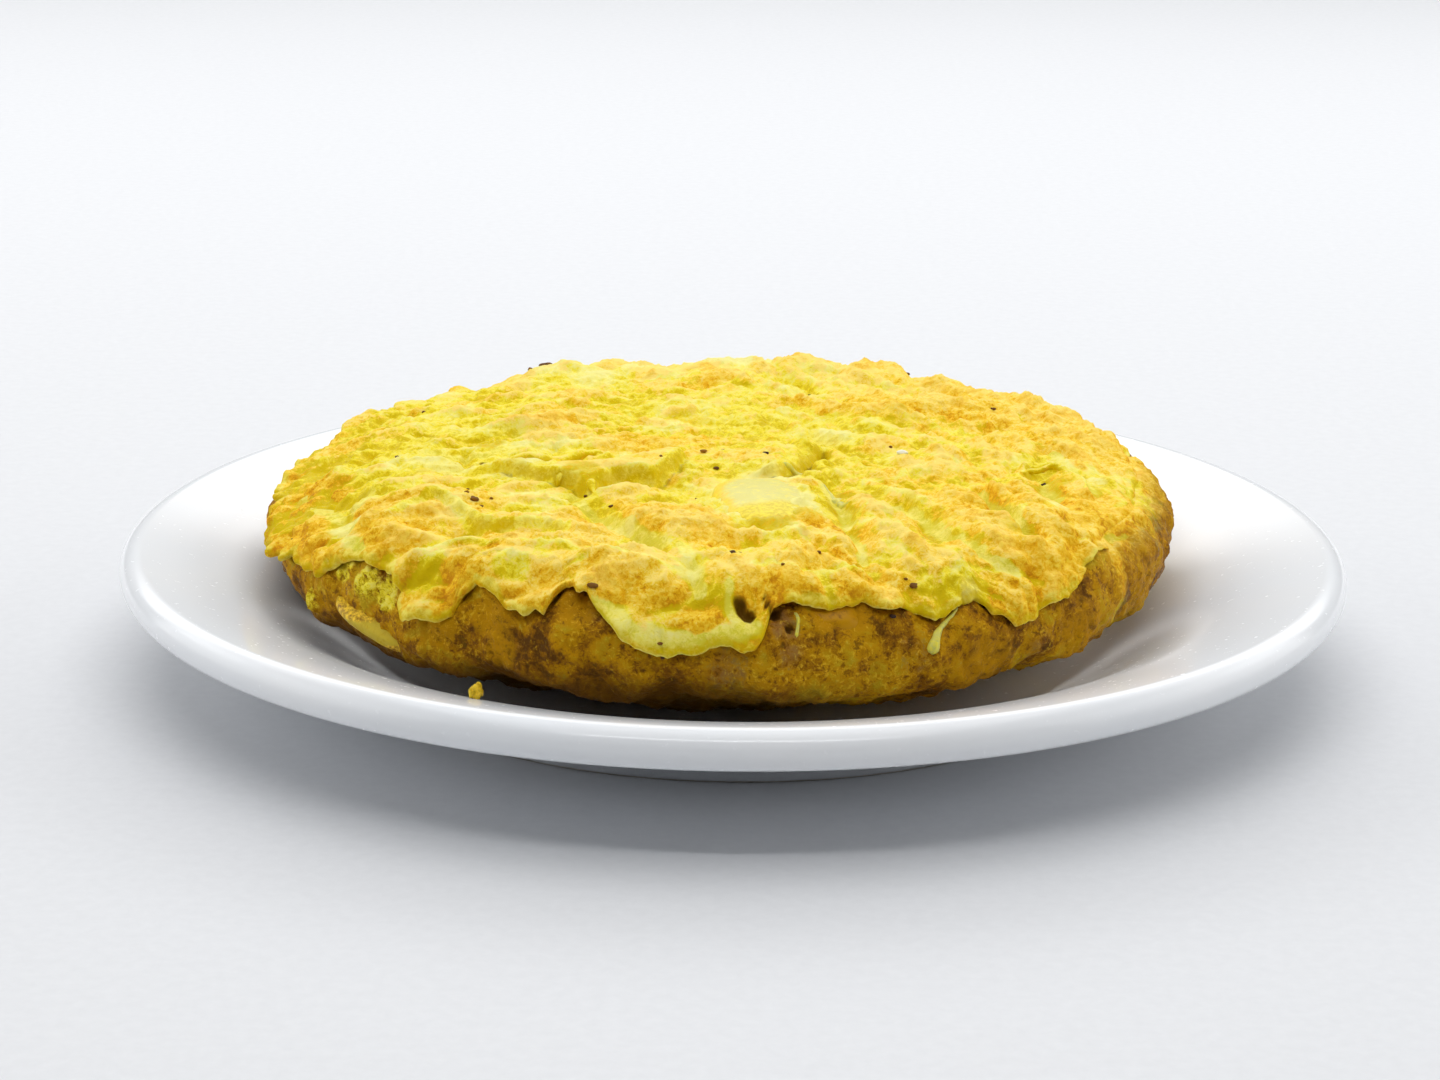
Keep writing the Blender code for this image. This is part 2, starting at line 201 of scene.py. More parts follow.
# Finer folds that only the looks have, in the same form.
FINE_FOLDS = (
    # rolls and dips between the front lip and the potato
    (((-62, -74), (-52, -79), (-44, -86)), 3.0, 1.0),
    (((-70, -64), (-60, -70), (-46, -76), (-30, -80)), 2.2, -1.1),
    (((-50, -60), (-42, -58), (-34, -57), (-26, -60)), 3.5, 1.0),
    (((-22, -52), (-14, -60), (-8, -68)), 3.5, 1.3),
    (((-16, -84), (-12, -94)), 4.0, 0.9),
    (((0, -74), (8, -72), (18, -74), (24, -78)), 2.2, -1.0),
    (((2, -66), (10, -69), (20, -66)), 3.0, 0.9),
    (((8, -88), (20, -90), (30, -87)), 2.2, -0.9),
    (((34, -60), (38, -72), (44, -82)), 4.0, 1.1),
    (((62, -36), (66, -46), (70, -56)), 3.0, 0.9),
    (((58, -78), (66, -72), (72, -64)), 2.5, -0.9),
    (((86, -20), (90, -28), (88, -40)), 3.0, 0.9),
    # steep middles of the valleys
    (((-28, -45), (-17, -66), (-8, -84)), 1.5, -0.9),
    (((-7, -76), (-5, -92)), 1.4, -0.8),
    (((24, -30), (26, -56), (28, -80)), 1.3, -0.9),
    (((38, -43), (47, -67), (52, -74)), 1.2, -0.9),
    (((-50, -55), (-40, -56.5), (-33, -55)), 1.6, -1.1),
    # lumps of the left and the back
    (((-84, -12), (-80, 6)), 4.0, 1.2),
    (((-72, 28), (-62, 40)), 4.5, 1.1),
    (((-48, 34), (-34, 42)), 5.0, 1.0),
    (((-18, 40), (2, 46)), 5.0, 0.9),
    (((-10, 62), (12, 66)), 4.0, -1.0),
    (((26, 50), (44, 44)), 5.0, 1.0),
    (((36, 62), (52, 54)), 3.0, -1.0),
    (((62, 24), (70, 34)), 4.0, -1.0),
    # slits and pits with steep walls
    (((-57, -1), (-56, -14)), 1.1, -1.3),
    (((-54, -12), (-51, -8)), 1.2, -1.1),
    (((-58, 21), (-52, 24)), 2.0, -1.3),
    (((-69, 15), (-66, 13)), 1.3, -1.5),
    (((-42, 1), (-37, 2)), 1.6, -1.0),
    (((54.6, -25), (56.4, -35), (59.8, -48), (63, -58)), 1.4, -2.2),
    (((37.5, -38), (42.5, -47), (47, -60), (53, -71), (59, -75)), 1.5, -1.2),
    (((82, -48), (86, -43), (90, -34)), 1.7, -1.3),
    (((-95, -39),), 2.0, -1.8),
    # crests beside the valleys
    (((-68, -56), (-57, -50), (-52, -56), (-48, -62), (-39, -61)), 1.5, 0.9),
    (((-64, -75), (-56, -71), (-46, -72), (-37, -74)), 2.0, 1.0),
    (((42, -38), (50, -55), (57, -70)), 1.8, 0.9),
    (((28, -30), (31, -56), (33, -76)), 2.0, 0.8),
    (((-13, -62), (-10, -76), (-8, -88)), 2.2, 0.8),
    # ear-shaped fold at the right, its rim and its hollow
    (((64, -14), (67, -6.5), (71, -5.5), (74, -9), (76.5, -17), (78, -28)), 1.4, 1.9),
    (((69, -14), (69, -24), (71, -34)), 2.8, -1.7),
    (((2, -62), (10, -64), (19, -62)), 3.5, -1.5),
    # wrinkles of the left side
    (((-76, -22), (-70, -4), (-62, 6)), 1.8, 0.8),
    (((-83, -18), (-77, 2)), 1.8, -0.8),
    (((-66, -18), (-48, -16), (-40, -20)), 1.8, -0.9),
    (((-70, -32), (-56, -27), (-48, -30)), 2.2, 0.7),
    (((-64, 8), (-46, 15), (-28, 26)), 2.0, 0.8),
    (((-46, 10), (-30, 12), (-18, 8)), 1.8, -0.8),
    (((-30, 2), (-12, -2), (0, -4)), 2.0, 0.7),
    (((-66, 43), (-56, 56), (-44, 64)), 2.4, -1.0),
)
# Torn edges of the skin. Each: its path with the raised side on its left, its height,
# how far back that fades, how deep the hollow before it is, which also sets its painted shade.
TORN_EDGES = (
    (((-56, -21), (-47, -23), (-41, -27), (-36, -30), (-31, -31), (-28.3, -36), (-26.8, -35.5),
      (-25, -30), (-20, -27), (-15, -27), (-11.5, -20), (-9, -12), (-8, -4)), 2.7, 16.0, 0.8),
    (((-48, -13), (-42, -13.5), (-37, -11), (-32, -6.5), (-26, -4)), 1.2, 9.0, 0.5),
    (((4, -23.5), (11, -22), (15.7, -13.5), (18, -5.5), (20.5, 2), (20, 9)), 1.5, 8.0, 1.3),
    (((-80, -30), (-70, -36), (-62, -34)), 0.7, 8.0, 0.3),
    (((-74, -56), (-67, -55), (-63, -49.5), (-60, -45.5), (-57, -48), (-53, -54.5), (-49.5, -60),
      (-45, -62), (-37, -61), (-32, -66), (-27, -74)), 1.4, 9.0, 0.3),
    (((-4, -91), (-16, -85.5), (-24, -81), (-32, -77.5), (-44.5, -74), (-55, -71.5), (-66, -73)),
     1.2, 11.0, 0.3),
    (((34, -85), (26, -84.5), (19, -89), (15, -89), (10, -87), (3, -89)), 1.1, 9.0, 0.3),
    (((32, -26), (38, -33), (42, -42)), 0.7, 7.0, 0.3),
)
# Width of the step at a torn edge, and of the hollow at its foot, and the share of the
# edge's length over which it fades at each end.
TEAR_WIDTH = 1.7
TEAR_FOOT_WIDTH = 0.9
TEAR_END_SHARE = 0.15
# Rolls and strands of egg that lie on the surface. Each: its path on the flat, its
# radius at the start, the middle and the end, how far its middle stands out, its toast.
ROLLS = (
    # drips that hang from the flap
    (((-28.2, -33.0), (-27.6, -36.0), (-26.9, -38.5)), (1.4, 0.9, 0.3), 0.2, 0.1),
    (((-34.5, -29.5), (-35.5, -32.5)), (0.9, 0.7, 0.3), 0.1, 0.1),
    # ridge behind the flap
    (((-49, -12), (-42, -13), (-37, -10.5), (-32, -6), (-25, -3)), (0.8, 1.7, 0.9), -0.5, 0.3),
    # rim of the ear-shaped fold
    (((63, -18), (65, -11), (68.5, -6.5), (72.5, -7), (76, -12), (77.5, -19), (77.5, -28)),
     (0.5, 1.1, 0.5), -0.6, 0.1),
)
# Strips of softened onion and strands of clear egg white, in the same form without toast.
ONIONS = (
    (((20, -24), (22, -29), (25, -35), (28, -42)), (0.5, 1.4, 0.6), -0.9),
    (((12, -18), (15, -15.5), (18, -15), (21, -17.5)), (0.6, 1.2, 0.7), -0.6),
    (((48.4, -88), (47.2, -91.0), (45.6, -93.4), (44.5, -95.8), (44.2, -98.0), (44.6, -100.0)),
     (0.4, 0.5, 1.6), -0.1),
    (((14.4, -97.3), (15.6, -98.3), (15.9, -99.9), (15.2, -101.5), (15.5, -103.2)),
     (0.3, 0.4, 0.5), 0.0),
)
ROLL_SIDES = 14
# Valleys where smooth pale egg shows: path, half width, strength.
VALLEYS = (
    (((-30, -42), (-24, -52), (-17, -64), (-11, -72)), 1.8, 0.9),
    (((-8, -74), (-6, -84), (-4, -95)), 1.6, 0.9), (((-75, -51), (-77, -58), (-73, -64)), 2.4, 0.8),
    (((-24, -96), (-18, -101.5), (-12, -104), (-4, -104), (3, -103.5), (7, -102)), 2.2, 0.9),
    (((1.5, -94), (1.6, -98), (3, -101)), 1.2, 0.9),
    (((22, -28), (25, -42), (26, -56)), 1.9, 1.0), (((26, -60), (28, -72), (29, -80)), 1.3, 0.8),
    (((37, -38), (42, -47), (47, -60), (53, -71), (59, -75)), 1.9, 1.0),
    (((54.6, -25), (56.4, -35), (59.8, -48), (63, -58)), 1.4, 1.0),
    (((59, -42), (62, -50)), 1.8, 0.6), (((69, -16), (71, -30)), 2.2, 0.8),
    (((74, 6), (77, -8), (80, -21)), 1.8, 0.8), (((82, -48), (87, -42)), 1.2, 0.6),
    (((-50, -56), (-42, -57), (-34, -57)), 1.8, 0.6), (((-79, -50), (-86, -32)), 2.6, 0.7),
    (((-66, -2), (-52, -4), (-44, 2)), 3.0, 0.6), (((-60, 12), (-44, 12)), 2.6, 0.5),
    (((-40, -38), (-22, -37)), 2.0, 0.5), (((30, -22), (40, -18)), 1.6, 0.5),
)
# Crests are eased from the one height so that none passes the other.
CREST_EASE = 49.6
# How far the fine relief is lowered at the back and left, where its crests make the outline,
# and the distance and the y where the back begins, each with the span over which it does.
SETTLED = 1.8
BACK_DISTANCE, BACK_DISTANCE_SPAN = 50.0, 30.0
BACK_Y, BACK_Y_SPAN = -45.0, 40.0
HIGHEST_CREST = 52.3

# Potato pieces that show: angle about Z, distance from the omelette's middle, height of
# the piece's centre, half sizes (outwards, sideways, upwards), tilt of its outer side,
# material, how browned its border is, how round it is (1 is an ellipsoid, less is boxy).
POTATOES = {
    "potato_top": (-78.0, 43.5, 45.9, (20.0, 10.6, 4.6), 0.0, "top_potato", 0.8, 0.9),
    "potato_left": (-134.5, 93.5, 29.6, (9.2, 14.0, 2.5), 12.0, "side_potato", 0.8, 0.72),
    "potato_front": (-77.0, 93.0, 38.0, (6.0, 7.2, 4.6), 34.0, "amber_potato", 0.15, 0.72),
}
# Each potato material's colours: the low spots, the flesh and the browned border.
POTATO_COLOURS = {
    "top_potato": ("moist", "potato", "yellow"),
    "side_potato": ("olive", "side_potato", "brown"),
    "amber_potato": ("brown", "amber", "olive"),
}
# The left slice thins towards its ends, and its pointed edge falls towards the front.
SLIVER_THINNING = 0.55
SLIVER_SLOPE = -0.22

# Toasted patches of the top, on the flat: place, radius, strength (negative is bare egg).
PATCHES = (
    ((-8, -54), 8.0, 0.8), ((0, -69), 7.0, 0.8), ((20, -61), 6.0, 0.8), ((20, -80), 9.0, 0.5),
    ((-72, -58), 9.0, 0.6), ((-45, -70), 8.0, 0.5), ((-27, -58), 5.0, 0.7), ((-92, -38), 10.0, 0.5),
    ((35, -30), 12.0, 0.3), ((50, -44), 8.0, 0.5), ((66, -66), 12.0, 0.5), ((86, -36), 14.0, 0.5),
    ((-68, -62), 4.5, 0.9), ((-48, -68), 3.5, 0.8), ((-41, -72), 3.5, 0.8), ((-30, -57), 3.0, 0.6),
    ((-22, -70), 4.0, 0.6), ((-14, -56), 4.0, 0.5), ((-1, -70), 3.5, 0.7), ((21, -61), 3.5, 0.6),
    ((-75, -43), 3.5, 0.8), ((-64, -47), 3.5, 0.8), ((-86, -52), 4.0, 0.6), ((-93, -41), 4.0, 0.8),
    ((56, -17), 3.5, 0.7), ((64, -40), 3.0, 0.6), ((39, -54), 3.5, 0.6), ((41, -80), 3.5, 0.5),
    ((-96, -20), 9.0, 0.4), ((-90, -56), 7.0, 0.4), ((-98, 4), 10.0, 0.35), ((-80, -24), 5.0, 0.5),
    ((84, -10), 4.0, 0.5), ((74, -62), 4.0, 0.5), ((81, -57), 4.0, 0.5), ((-19, 8), 4.0, 0.5),
    ((-67, -83), 5.0, 0.8), ((-76, -74), 5.0, 0.5), ((-52, -86), 6.0, 0.7), ((-35, -92), 5.0, 0.7),
    ((-20, -92), 7.0, 0.6), ((-5, -101), 3.0, 1.2), ((12, -92), 6.0, 0.6), ((30, -92), 7.0, 0.6),
    ((10, -63), 6.0, -0.8), ((77, -30), 5.0, 0.6), ((60, -84), 7.0, 0.6), ((46, -66), 4.0, 0.5),
    ((90, 10), 16.0, 0.4), ((60, 50), 18.0, 0.3), ((-10, 6), 14.0, 0.3), ((-40, 20), 8.0, 0.3),
    ((8, -46), 12.0, -0.5), ((-62, -10), 16.0, -0.5), ((-40, -10), 14.0, -0.4),
    ((-38, -46), 9.0, -0.4), ((-60, 30), 16.0, -0.3), ((30, 14), 8.0, -0.7), ((2, 84), 7.0, -0.7),
    ((70, -4), 7.0, -0.4), ((84, -8), 7.0, -0.5), ((-30, 66), 14.0, -0.4), ((48, -84), 5.0, -0.5),
)
# Smooth cream and yellow egg of the top round the potato: place, radius, strength.
PALE = (
    ((9, -44), 11.0, 1.0), ((9, -28), 9.0, 0.8), ((-76, -40), 6.0, 0.5), ((26, 15), 9.0, 0.45),
    ((2, 84), 9.0, 0.8), ((-20, -60), 4.0, 0.5), ((-6, -88), 4.0, 0.5), ((-31, 68), 8.0, 0.5),
    ((80, -12), 5.0, 0.7), ((70, -42), 4.0, 0.8), ((-78, -50), 6.0, 0.6), ((50, -84), 4.0, 0.4),
    ((-60, -14), 9.0, 0.5),
)
# Places where the egg is deep yellow instead.
DEEP_PATCHES = (
    ((10, -58), 7.0, 1.0), ((3, -63), 4.0, 0.7), ((17, -55), 4.0, 0.7), ((-52, 2), 4.0, 0.9),
    ((-64, -20), 4.0, 0.6), ((72, -20), 4.0, 0.9), ((-30, -30), 5.0, 0.8), ((60, -58), 3.5, 0.6),
    ((96, -34), 4.0, 0.8), ((-8, 30), 7.0, 0.5), ((40, 30), 7.0, 0.5), ((-46, -22), 5.0, 0.6),
)
# Places of the side that stand out, on the flat: place, radius, strength.
AMBER_PATCHES = (
    ((-47, -91.5), 6.0, 1.0), ((-29, -95.5), 5.0, 1.0), ((21, -98.5), 4.0, 1.0), ((27, -97), 4.5, 1.0),
    ((-48, -100), 5.0, 0.7), ((8, -111), 4.5, 0.6), ((85, -84), 5.0, 0.7), ((-60, -90), 4.5, 0.8),
    ((60, -96), 10.0, 0.6), ((84, -76), 10.0, 0.6), ((100, -46), 9.0, 0.6), ((101, -52), 4.0, 0.9),
    ((-96, -62), 4.0, 0.8), ((58, -104), 5.0, 0.5), ((-20, -112), 5.0, 0.5),
)
MOIST_PATCHES = (
    ((-79, -64), 3.5, 1.0), ((-75, -71), 4.0, 1.0), ((-70, -76.5), 4.0, 1.0), ((-94, -60), 3.0, 0.7),
)
LACE_PATCHES = (
    ((8, -98), 3.5, 1.0), ((13, -101), 4.0, 1.0), ((14, -106), 4.5, 0.8), ((2, -110), 6.0, 0.8),
    ((-24, -97), 3.0, 0.7), ((73, -86), 5.0, 0.6), ((42, -101), 5.0, 0.6), ((-38, -112), 6.0, 0.5),
)
# Holes in the crust, with painted shade inside: path on the flat, half width, depth.
HOLES = (
    (((3.6, -96.9), (4.3, -98.6), (5.6, -99.7)), 1.15, 2.4),
    (((11.0, -98.3),), 1.2, 2.0), (((13.8, -101.2),), 0.9, 1.8), (((9.0, -96.6),), 0.8, 1.4),
    (((-58, 20.5), (-54, 21.5)), 1.0, 0.8), (((-52.5, -8.5),), 0.8, 0.6),
)
# Bits that caught in the pan: place on the flat, length, how much longer than wide, tone
# from 0, black, to 1, white.
BITS = (
    ((-51.6, -48.9), 2.0, 1.5, 0.25), ((-50.2, -50.6), 1.2, 1.2, 0.2), ((-53.3, -47.2), 1.0, 1.4, 0.3),
    ((-48.2, -47.0), 0.8, 1.2, 0.3), ((-94.8, -39.3), 0.8, 1.5, 0.1), ((2.1, -81.9), 1.6, 1.3, 0.1),
    ((3.6, -81.0), 0.9, 1.6, 0.25), ((19.3, -80.5), 1.1, 1.3, 0.2), ((38.1, -87.6), 1.7, 1.3, 0.2),
    ((36.6, -86.2), 0.9, 1.5, 0.25), ((-24.9, -93.0), 2.2, 1.9, 0.22), ((-11.9, -104.7), 1.0, 1.6, 0.2),
    ((34.6, -95.0), 1.2, 1.3, 0.0), ((-39.1, -29.4), 1.0, 1.5, 0.1), ((-29.0, -36.6), 1.0, 1.4, 0.15),
    ((-20.8, -29.8), 1.2, 2.0, 0.1), ((-17.0, -29.0), 1.1, 2.2, 0.15), ((-23.0, -32.8), 0.8, 1.4, 0.15),
    ((9.1, -10.4), 1.6, 2.0, 0.05), ((-1.5, -16.7), 1.3, 1.5, 0.15), ((-13.5, -20.0), 0.8, 1.4, 0.2),
    ((69.9, -13.0), 1.5, 1.6, 0.0), ((39.5, -0.3), 2.6, 2.0, 1.0), ((37.0, 4.0), 0.9, 1.3, 0.2),
    ((-23.3, -45.7), 1.2, 1.6, 0.15), ((-71.9, -5.0), 0.8, 1.2, 0.1), ((-53.3, -44.0), 0.7, 1.4, 0.2),
    ((-43.5, 77.0), 3.2, 1.8, 0.15), ((-47.0, 76.0), 1.6, 1.4, 0.2), ((-12, -107.5), 0.8, 1.2, 0.1),
    ((0.0, -2.5), 1.0, 2.2, 0.25), ((-5.5, -40.2), 0.8, 1.3, 0.2), ((-4.5, -1.2), 1.6, 1.8, 0.3),
    ((12.0, -88.5), 0.8, 1.4, 0.3), ((62, 38), 1.2, 1.4, 0.15), ((20, 62), 1.0, 1.6, 0.2),
    ((-70, 40), 1.1, 1.3, 0.15), ((-20, 48), 0.9, 1.5, 0.2), ((44, 84), 1.3, 1.4, 0.15),
)
# Crumb on the plate's rim at the front left: angle about Z, distance, half sizes.
CRUMB = (-116.5, 112.0, (1.4, 1.0, 1.8))
RIM_HEIGHT_AT_CRUMB = 23.2
# The toasted right side has no lip: its span in degrees and how far that fades.
BARE_FROM = -38.0
BARE_TO = 16.0
BARE_FADE = 9.0
# There the top's relief turns into the side's, and the top browns, from these distances.
SIDE_RELIEF_FROM, SIDE_RELIEF_SPAN = 72.0, 18.0
BROWNING_FROM, BROWNING_SPAN = 82.0, 28.0

# Camera, measured from the photograph
CAMERA_DISTANCE = 800.0
CAMERA_ELEVATION = 0.317635
CAMERA_ROLL = 0.0116565
CAMERA_TARGET = (-2.9455, 0.0, 27.011)
PHOTO_WIDTH = 1440.0
FOCAL_PIXELS = 3555.66
SENSOR_WIDTH = 36.0

# Studio lights, in metres: name, setting of its power, place, aim, size.
LIGHTS = (
    ("key", "key", (0.0, -0.10, 0.85), (0.0, 0.0, 0.04), (0.95, 0.92)),
    ("strip", "strip", (0.0, -0.52, 0.72), (0.0, -0.05, 0.03), (0.70, 0.035)),
    ("back", "back", (0.0, 1.2, 0.78), (0.0, 0.0, 0.0), (2.4, 0.6)),
    ("far", "far", (0.0, 0.95, 0.70), (0.0, 0.9501, 0.0), (2.8, 1.2)),
    ("left", "sides", (-1.05, 0.02, 0.42), (0.0, 0.0, 0.02), (1.4, 0.8)),
    ("right", "sides", (1.05, 0.02, 0.42), (0.0, 0.0, 0.02), (1.4, 0.8)),
)
FLOOR_HALF_SIZE = 4.0
PAPER_COLOURS = ((0.70, 0.71, 0.73), (0.73, 0.74, 0.76))
ROOM_COLOUR = (0.97, 0.985, 1.0)


def smooth(value):
    """Rise from 0 to 1 with level ends as value goes from 0 to 1."""
    value = np.clip(value, 0.0, 1.0)
    return value * value * (3.0 - 2.0 * value)


# Lattice noise
LATTICE = np.random.default_rng(11)
SHUFFLE = LATTICE.permutation(256)
SLOPES = LATTICE.normal(size=(256, 3))
SLOPES /= np.linalg.norm(SLOPES, axis=1)[:, None]


def lumps(points, size):
    """Smooth noise between about -1 and 1, with lumps about one size across."""
    place = points / size + size
    corner = np.floor(place).astype(int)
    part = place - corner
    ease = part ** 3 * (part * (part * 6.0 - 15.0) + 10.0)
    total = np.zeros(len(points))
    for step in np.ndindex(2, 2, 2):
        cell = (corner + step) & 255
        code = SHUFFLE[(SHUFFLE[(SHUFFLE[cell[:, 0]] + cell[:, 1]) & 255] + cell[:, 2]) & 255]
        weight = np.prod(np.where(step, ease, 1.0 - ease), axis=1)
        total += weight * np.sum(SLOPES[code] * (part - step), axis=1)
    return total * 1.8


def layered(points, layers):
    """Lumps of several sizes added up. Each layer is its height and its size across."""
    return sum(height * lumps(points, size) for height, size in layers)


def drawn_lumps(points, size, heading, stretch):
    """Lumps drawn out along a heading, in degrees from +X seen from above."""
    turn = math.radians(heading)
    along = points[:, 0] * math.cos(turn) + points[:, 1] * math.sin(turn)
    aside = points[:, 1] * math.cos(turn) - points[:, 0] * math.sin(turn)
    return lumps(np.column_stack([along / stretch, aside, points[:, 2]]), size)


def grains(points, size):
    """Round bumps with sharp creases between them, from 0 to about 1."""
    return np.abs(lumps(points, size)) * 1.6


# Omelette's plain turned form
def omelette_outline(arc_points=48):
    """Half section from the middle of the top, over the shoulder, to the middle of the base."""
    turn = np.linspace(0.0, math.pi / 2, arc_points)
    shoulder_r = TOP_FLAT_RADIUS + (WIDEST_RADIUS - TOP_FLAT_RADIUS) * np.sin(turn)
    shoulder_z = WIDEST_HEIGHT + (TOP_HEIGHT - WIDEST_HEIGHT) * np.cos(turn)
    turn = np.radians(np.linspace(0.0, BELLY_ARC_END, arc_points)[1:])
    belly_r = WIDEST_RADIUS - BELLY_ARC_RADIUS * (1.0 - np.cos(turn))
    belly_z = WIDEST_HEIGHT - BELLY_ARC_DEPTH * np.sin(turn)
    radius = np.concatenate([[0.0], shoulder_r, belly_r, [BASE_FLAT_RADIUS, 0.0]])
    height = np.concatenate([[TOP_HEIGHT], shoulder_z, belly_z, [BASE_HEIGHT, BASE_HEIGHT]])
    return radius, height


OUTLINE_R, OUTLINE_Z = omelette_outline()
OUTLINE_S = np.concatenate([[0.0], np.cumsum(np.hypot(np.diff(OUTLINE_R), np.diff(OUTLINE_Z)))])
BASE_EDGE_DISTANCE = OUTLINE_S[-2]


def on_outline(distance):
    """Radius, height and outward normal of the half section at a distance along it."""
    radius = np.interp(distance, OUTLINE_S, OUTLINE_R)
    height = np.interp(distance, OUTLINE_S, OUTLINE_Z)
    reach = 1.5
    ahead = np.minimum(distance + reach, OUTLINE_S[-1])
    behind = np.maximum(distance - reach, 0.0)
    run = np.interp(ahead, OUTLINE_S, OUTLINE_R) - np.interp(behind, OUTLINE_S, OUTLINE_R)
    fall = np.interp(behind, OUTLINE_S, OUTLINE_Z) - np.interp(ahead, OUTLINE_S, OUTLINE_Z)
    length = np.hypot(run, fall)
    return radius, height, fall / length, run / length


def all_lobes():
    """The front's lobes as measured, then more of the same kind round the back."""
    draw = np.random.default_rng(5)
    start, end = BACK_LOBE_SPAN
    pitch = (end - start) / BACK_LOBES
    back = [
        (start + pitch * (i + draw.uniform(0.2, 0.8)), draw.uniform(4.0, 8.0), draw.uniform(2.0, 10.0))
        for i in range(BACK_LOBES)
    ]
    return list(FRONT_LOBES) + back


def bareness(angle):
    """1 where the crust has no lip, at the right, and 0 elsewhere."""
    turned = (angle + 180.0) % 360.0 - 180.0
    return smooth((turned - BARE_FROM) / BARE_FADE) * smooth((BARE_TO - turned) / BARE_FADE)


def lip_line(angle, raggedness):
    """Distance over the surface at which the top skin ends, for angles in degrees."""
    drop = np.zeros_like(angle)
    for centre, half_width, fall in all_lobes():
        apart = (angle - centre + 180.0) % 360.0 - 180.0
        drop = np.maximum(drop, fall / (1.0 + (apart / half_width) ** 4))
    turn = np.radians(angle)
    edge = np.column_stack([np.cos(turn), np.sin(turn), 0.0 * turn]) * LIP_DISTANCE
    ragged = layered(edge, LIP_RAGGEDNESS)
    plain = LIP_DISTANCE + drop + raggedness * lumps(edge, 6.0)
    turned = (angle + 180.0) % 360.0 - 180.0
    angles, distances = zip(*LIP_EDGE)
    front = smooth((turned - angles[0]) / 2.0) * smooth((angles[-1] - turned) / 2.0)
    front = front * np.minimum(raggedness, 1.0)
    return plain + front * (np.interp(turned, angles, distances) - plain) + raggedness * ragged


def skin_thickness(angle):
    angles, sizes = zip(*SKIN_THICKNESS)
    return np.interp(angle, angles, sizes, period=360.0)


def near_path(flat, path):
    """Distance to a path, which side of it a point is on, and its share of the length."""
    nearest = np.full(len(flat), np.inf)
    side = np.ones(len(flat))
    share = np.zeros(len(flat))
    lengths = [math.dist(a, b) for a, b in zip(path, path[1:])]
    done = 0.0
    for start, end, length in zip(path, path[1:], lengths):
        start = np.array(start, float)
        run = (np.array(end, float) - start) / length
        offset = flat - start
        along = np.clip(offset @ run, 0.0, length)
        apart = np.linalg.norm(offset - along[:, None] * run, axis=1)
        closer = apart < nearest
        nearest = np.where(closer, apart, nearest)
        side = np.where(closer, np.sign(run[0] * offset[:, 1] - run[1] * offset[:, 0]), side)
        share = np.where(closer, (done + along) / sum(lengths), share)
        done += length
    return nearest, side, share


def distance_to_path(flat, path):
    if len(path) == 1:
        return np.hypot(flat[:, 0] - path[0][0], flat[:, 1] - path[0][1])
    return near_path(flat, path)[0]


def eased(height):
    """Heights with the crests flattened a little, so that none passes the highest allowed."""
    over = np.maximum(height - CREST_EASE, 0.0)
    room = HIGHEST_CREST - CREST_EASE
    return height - over + room * np.tanh(over / room)


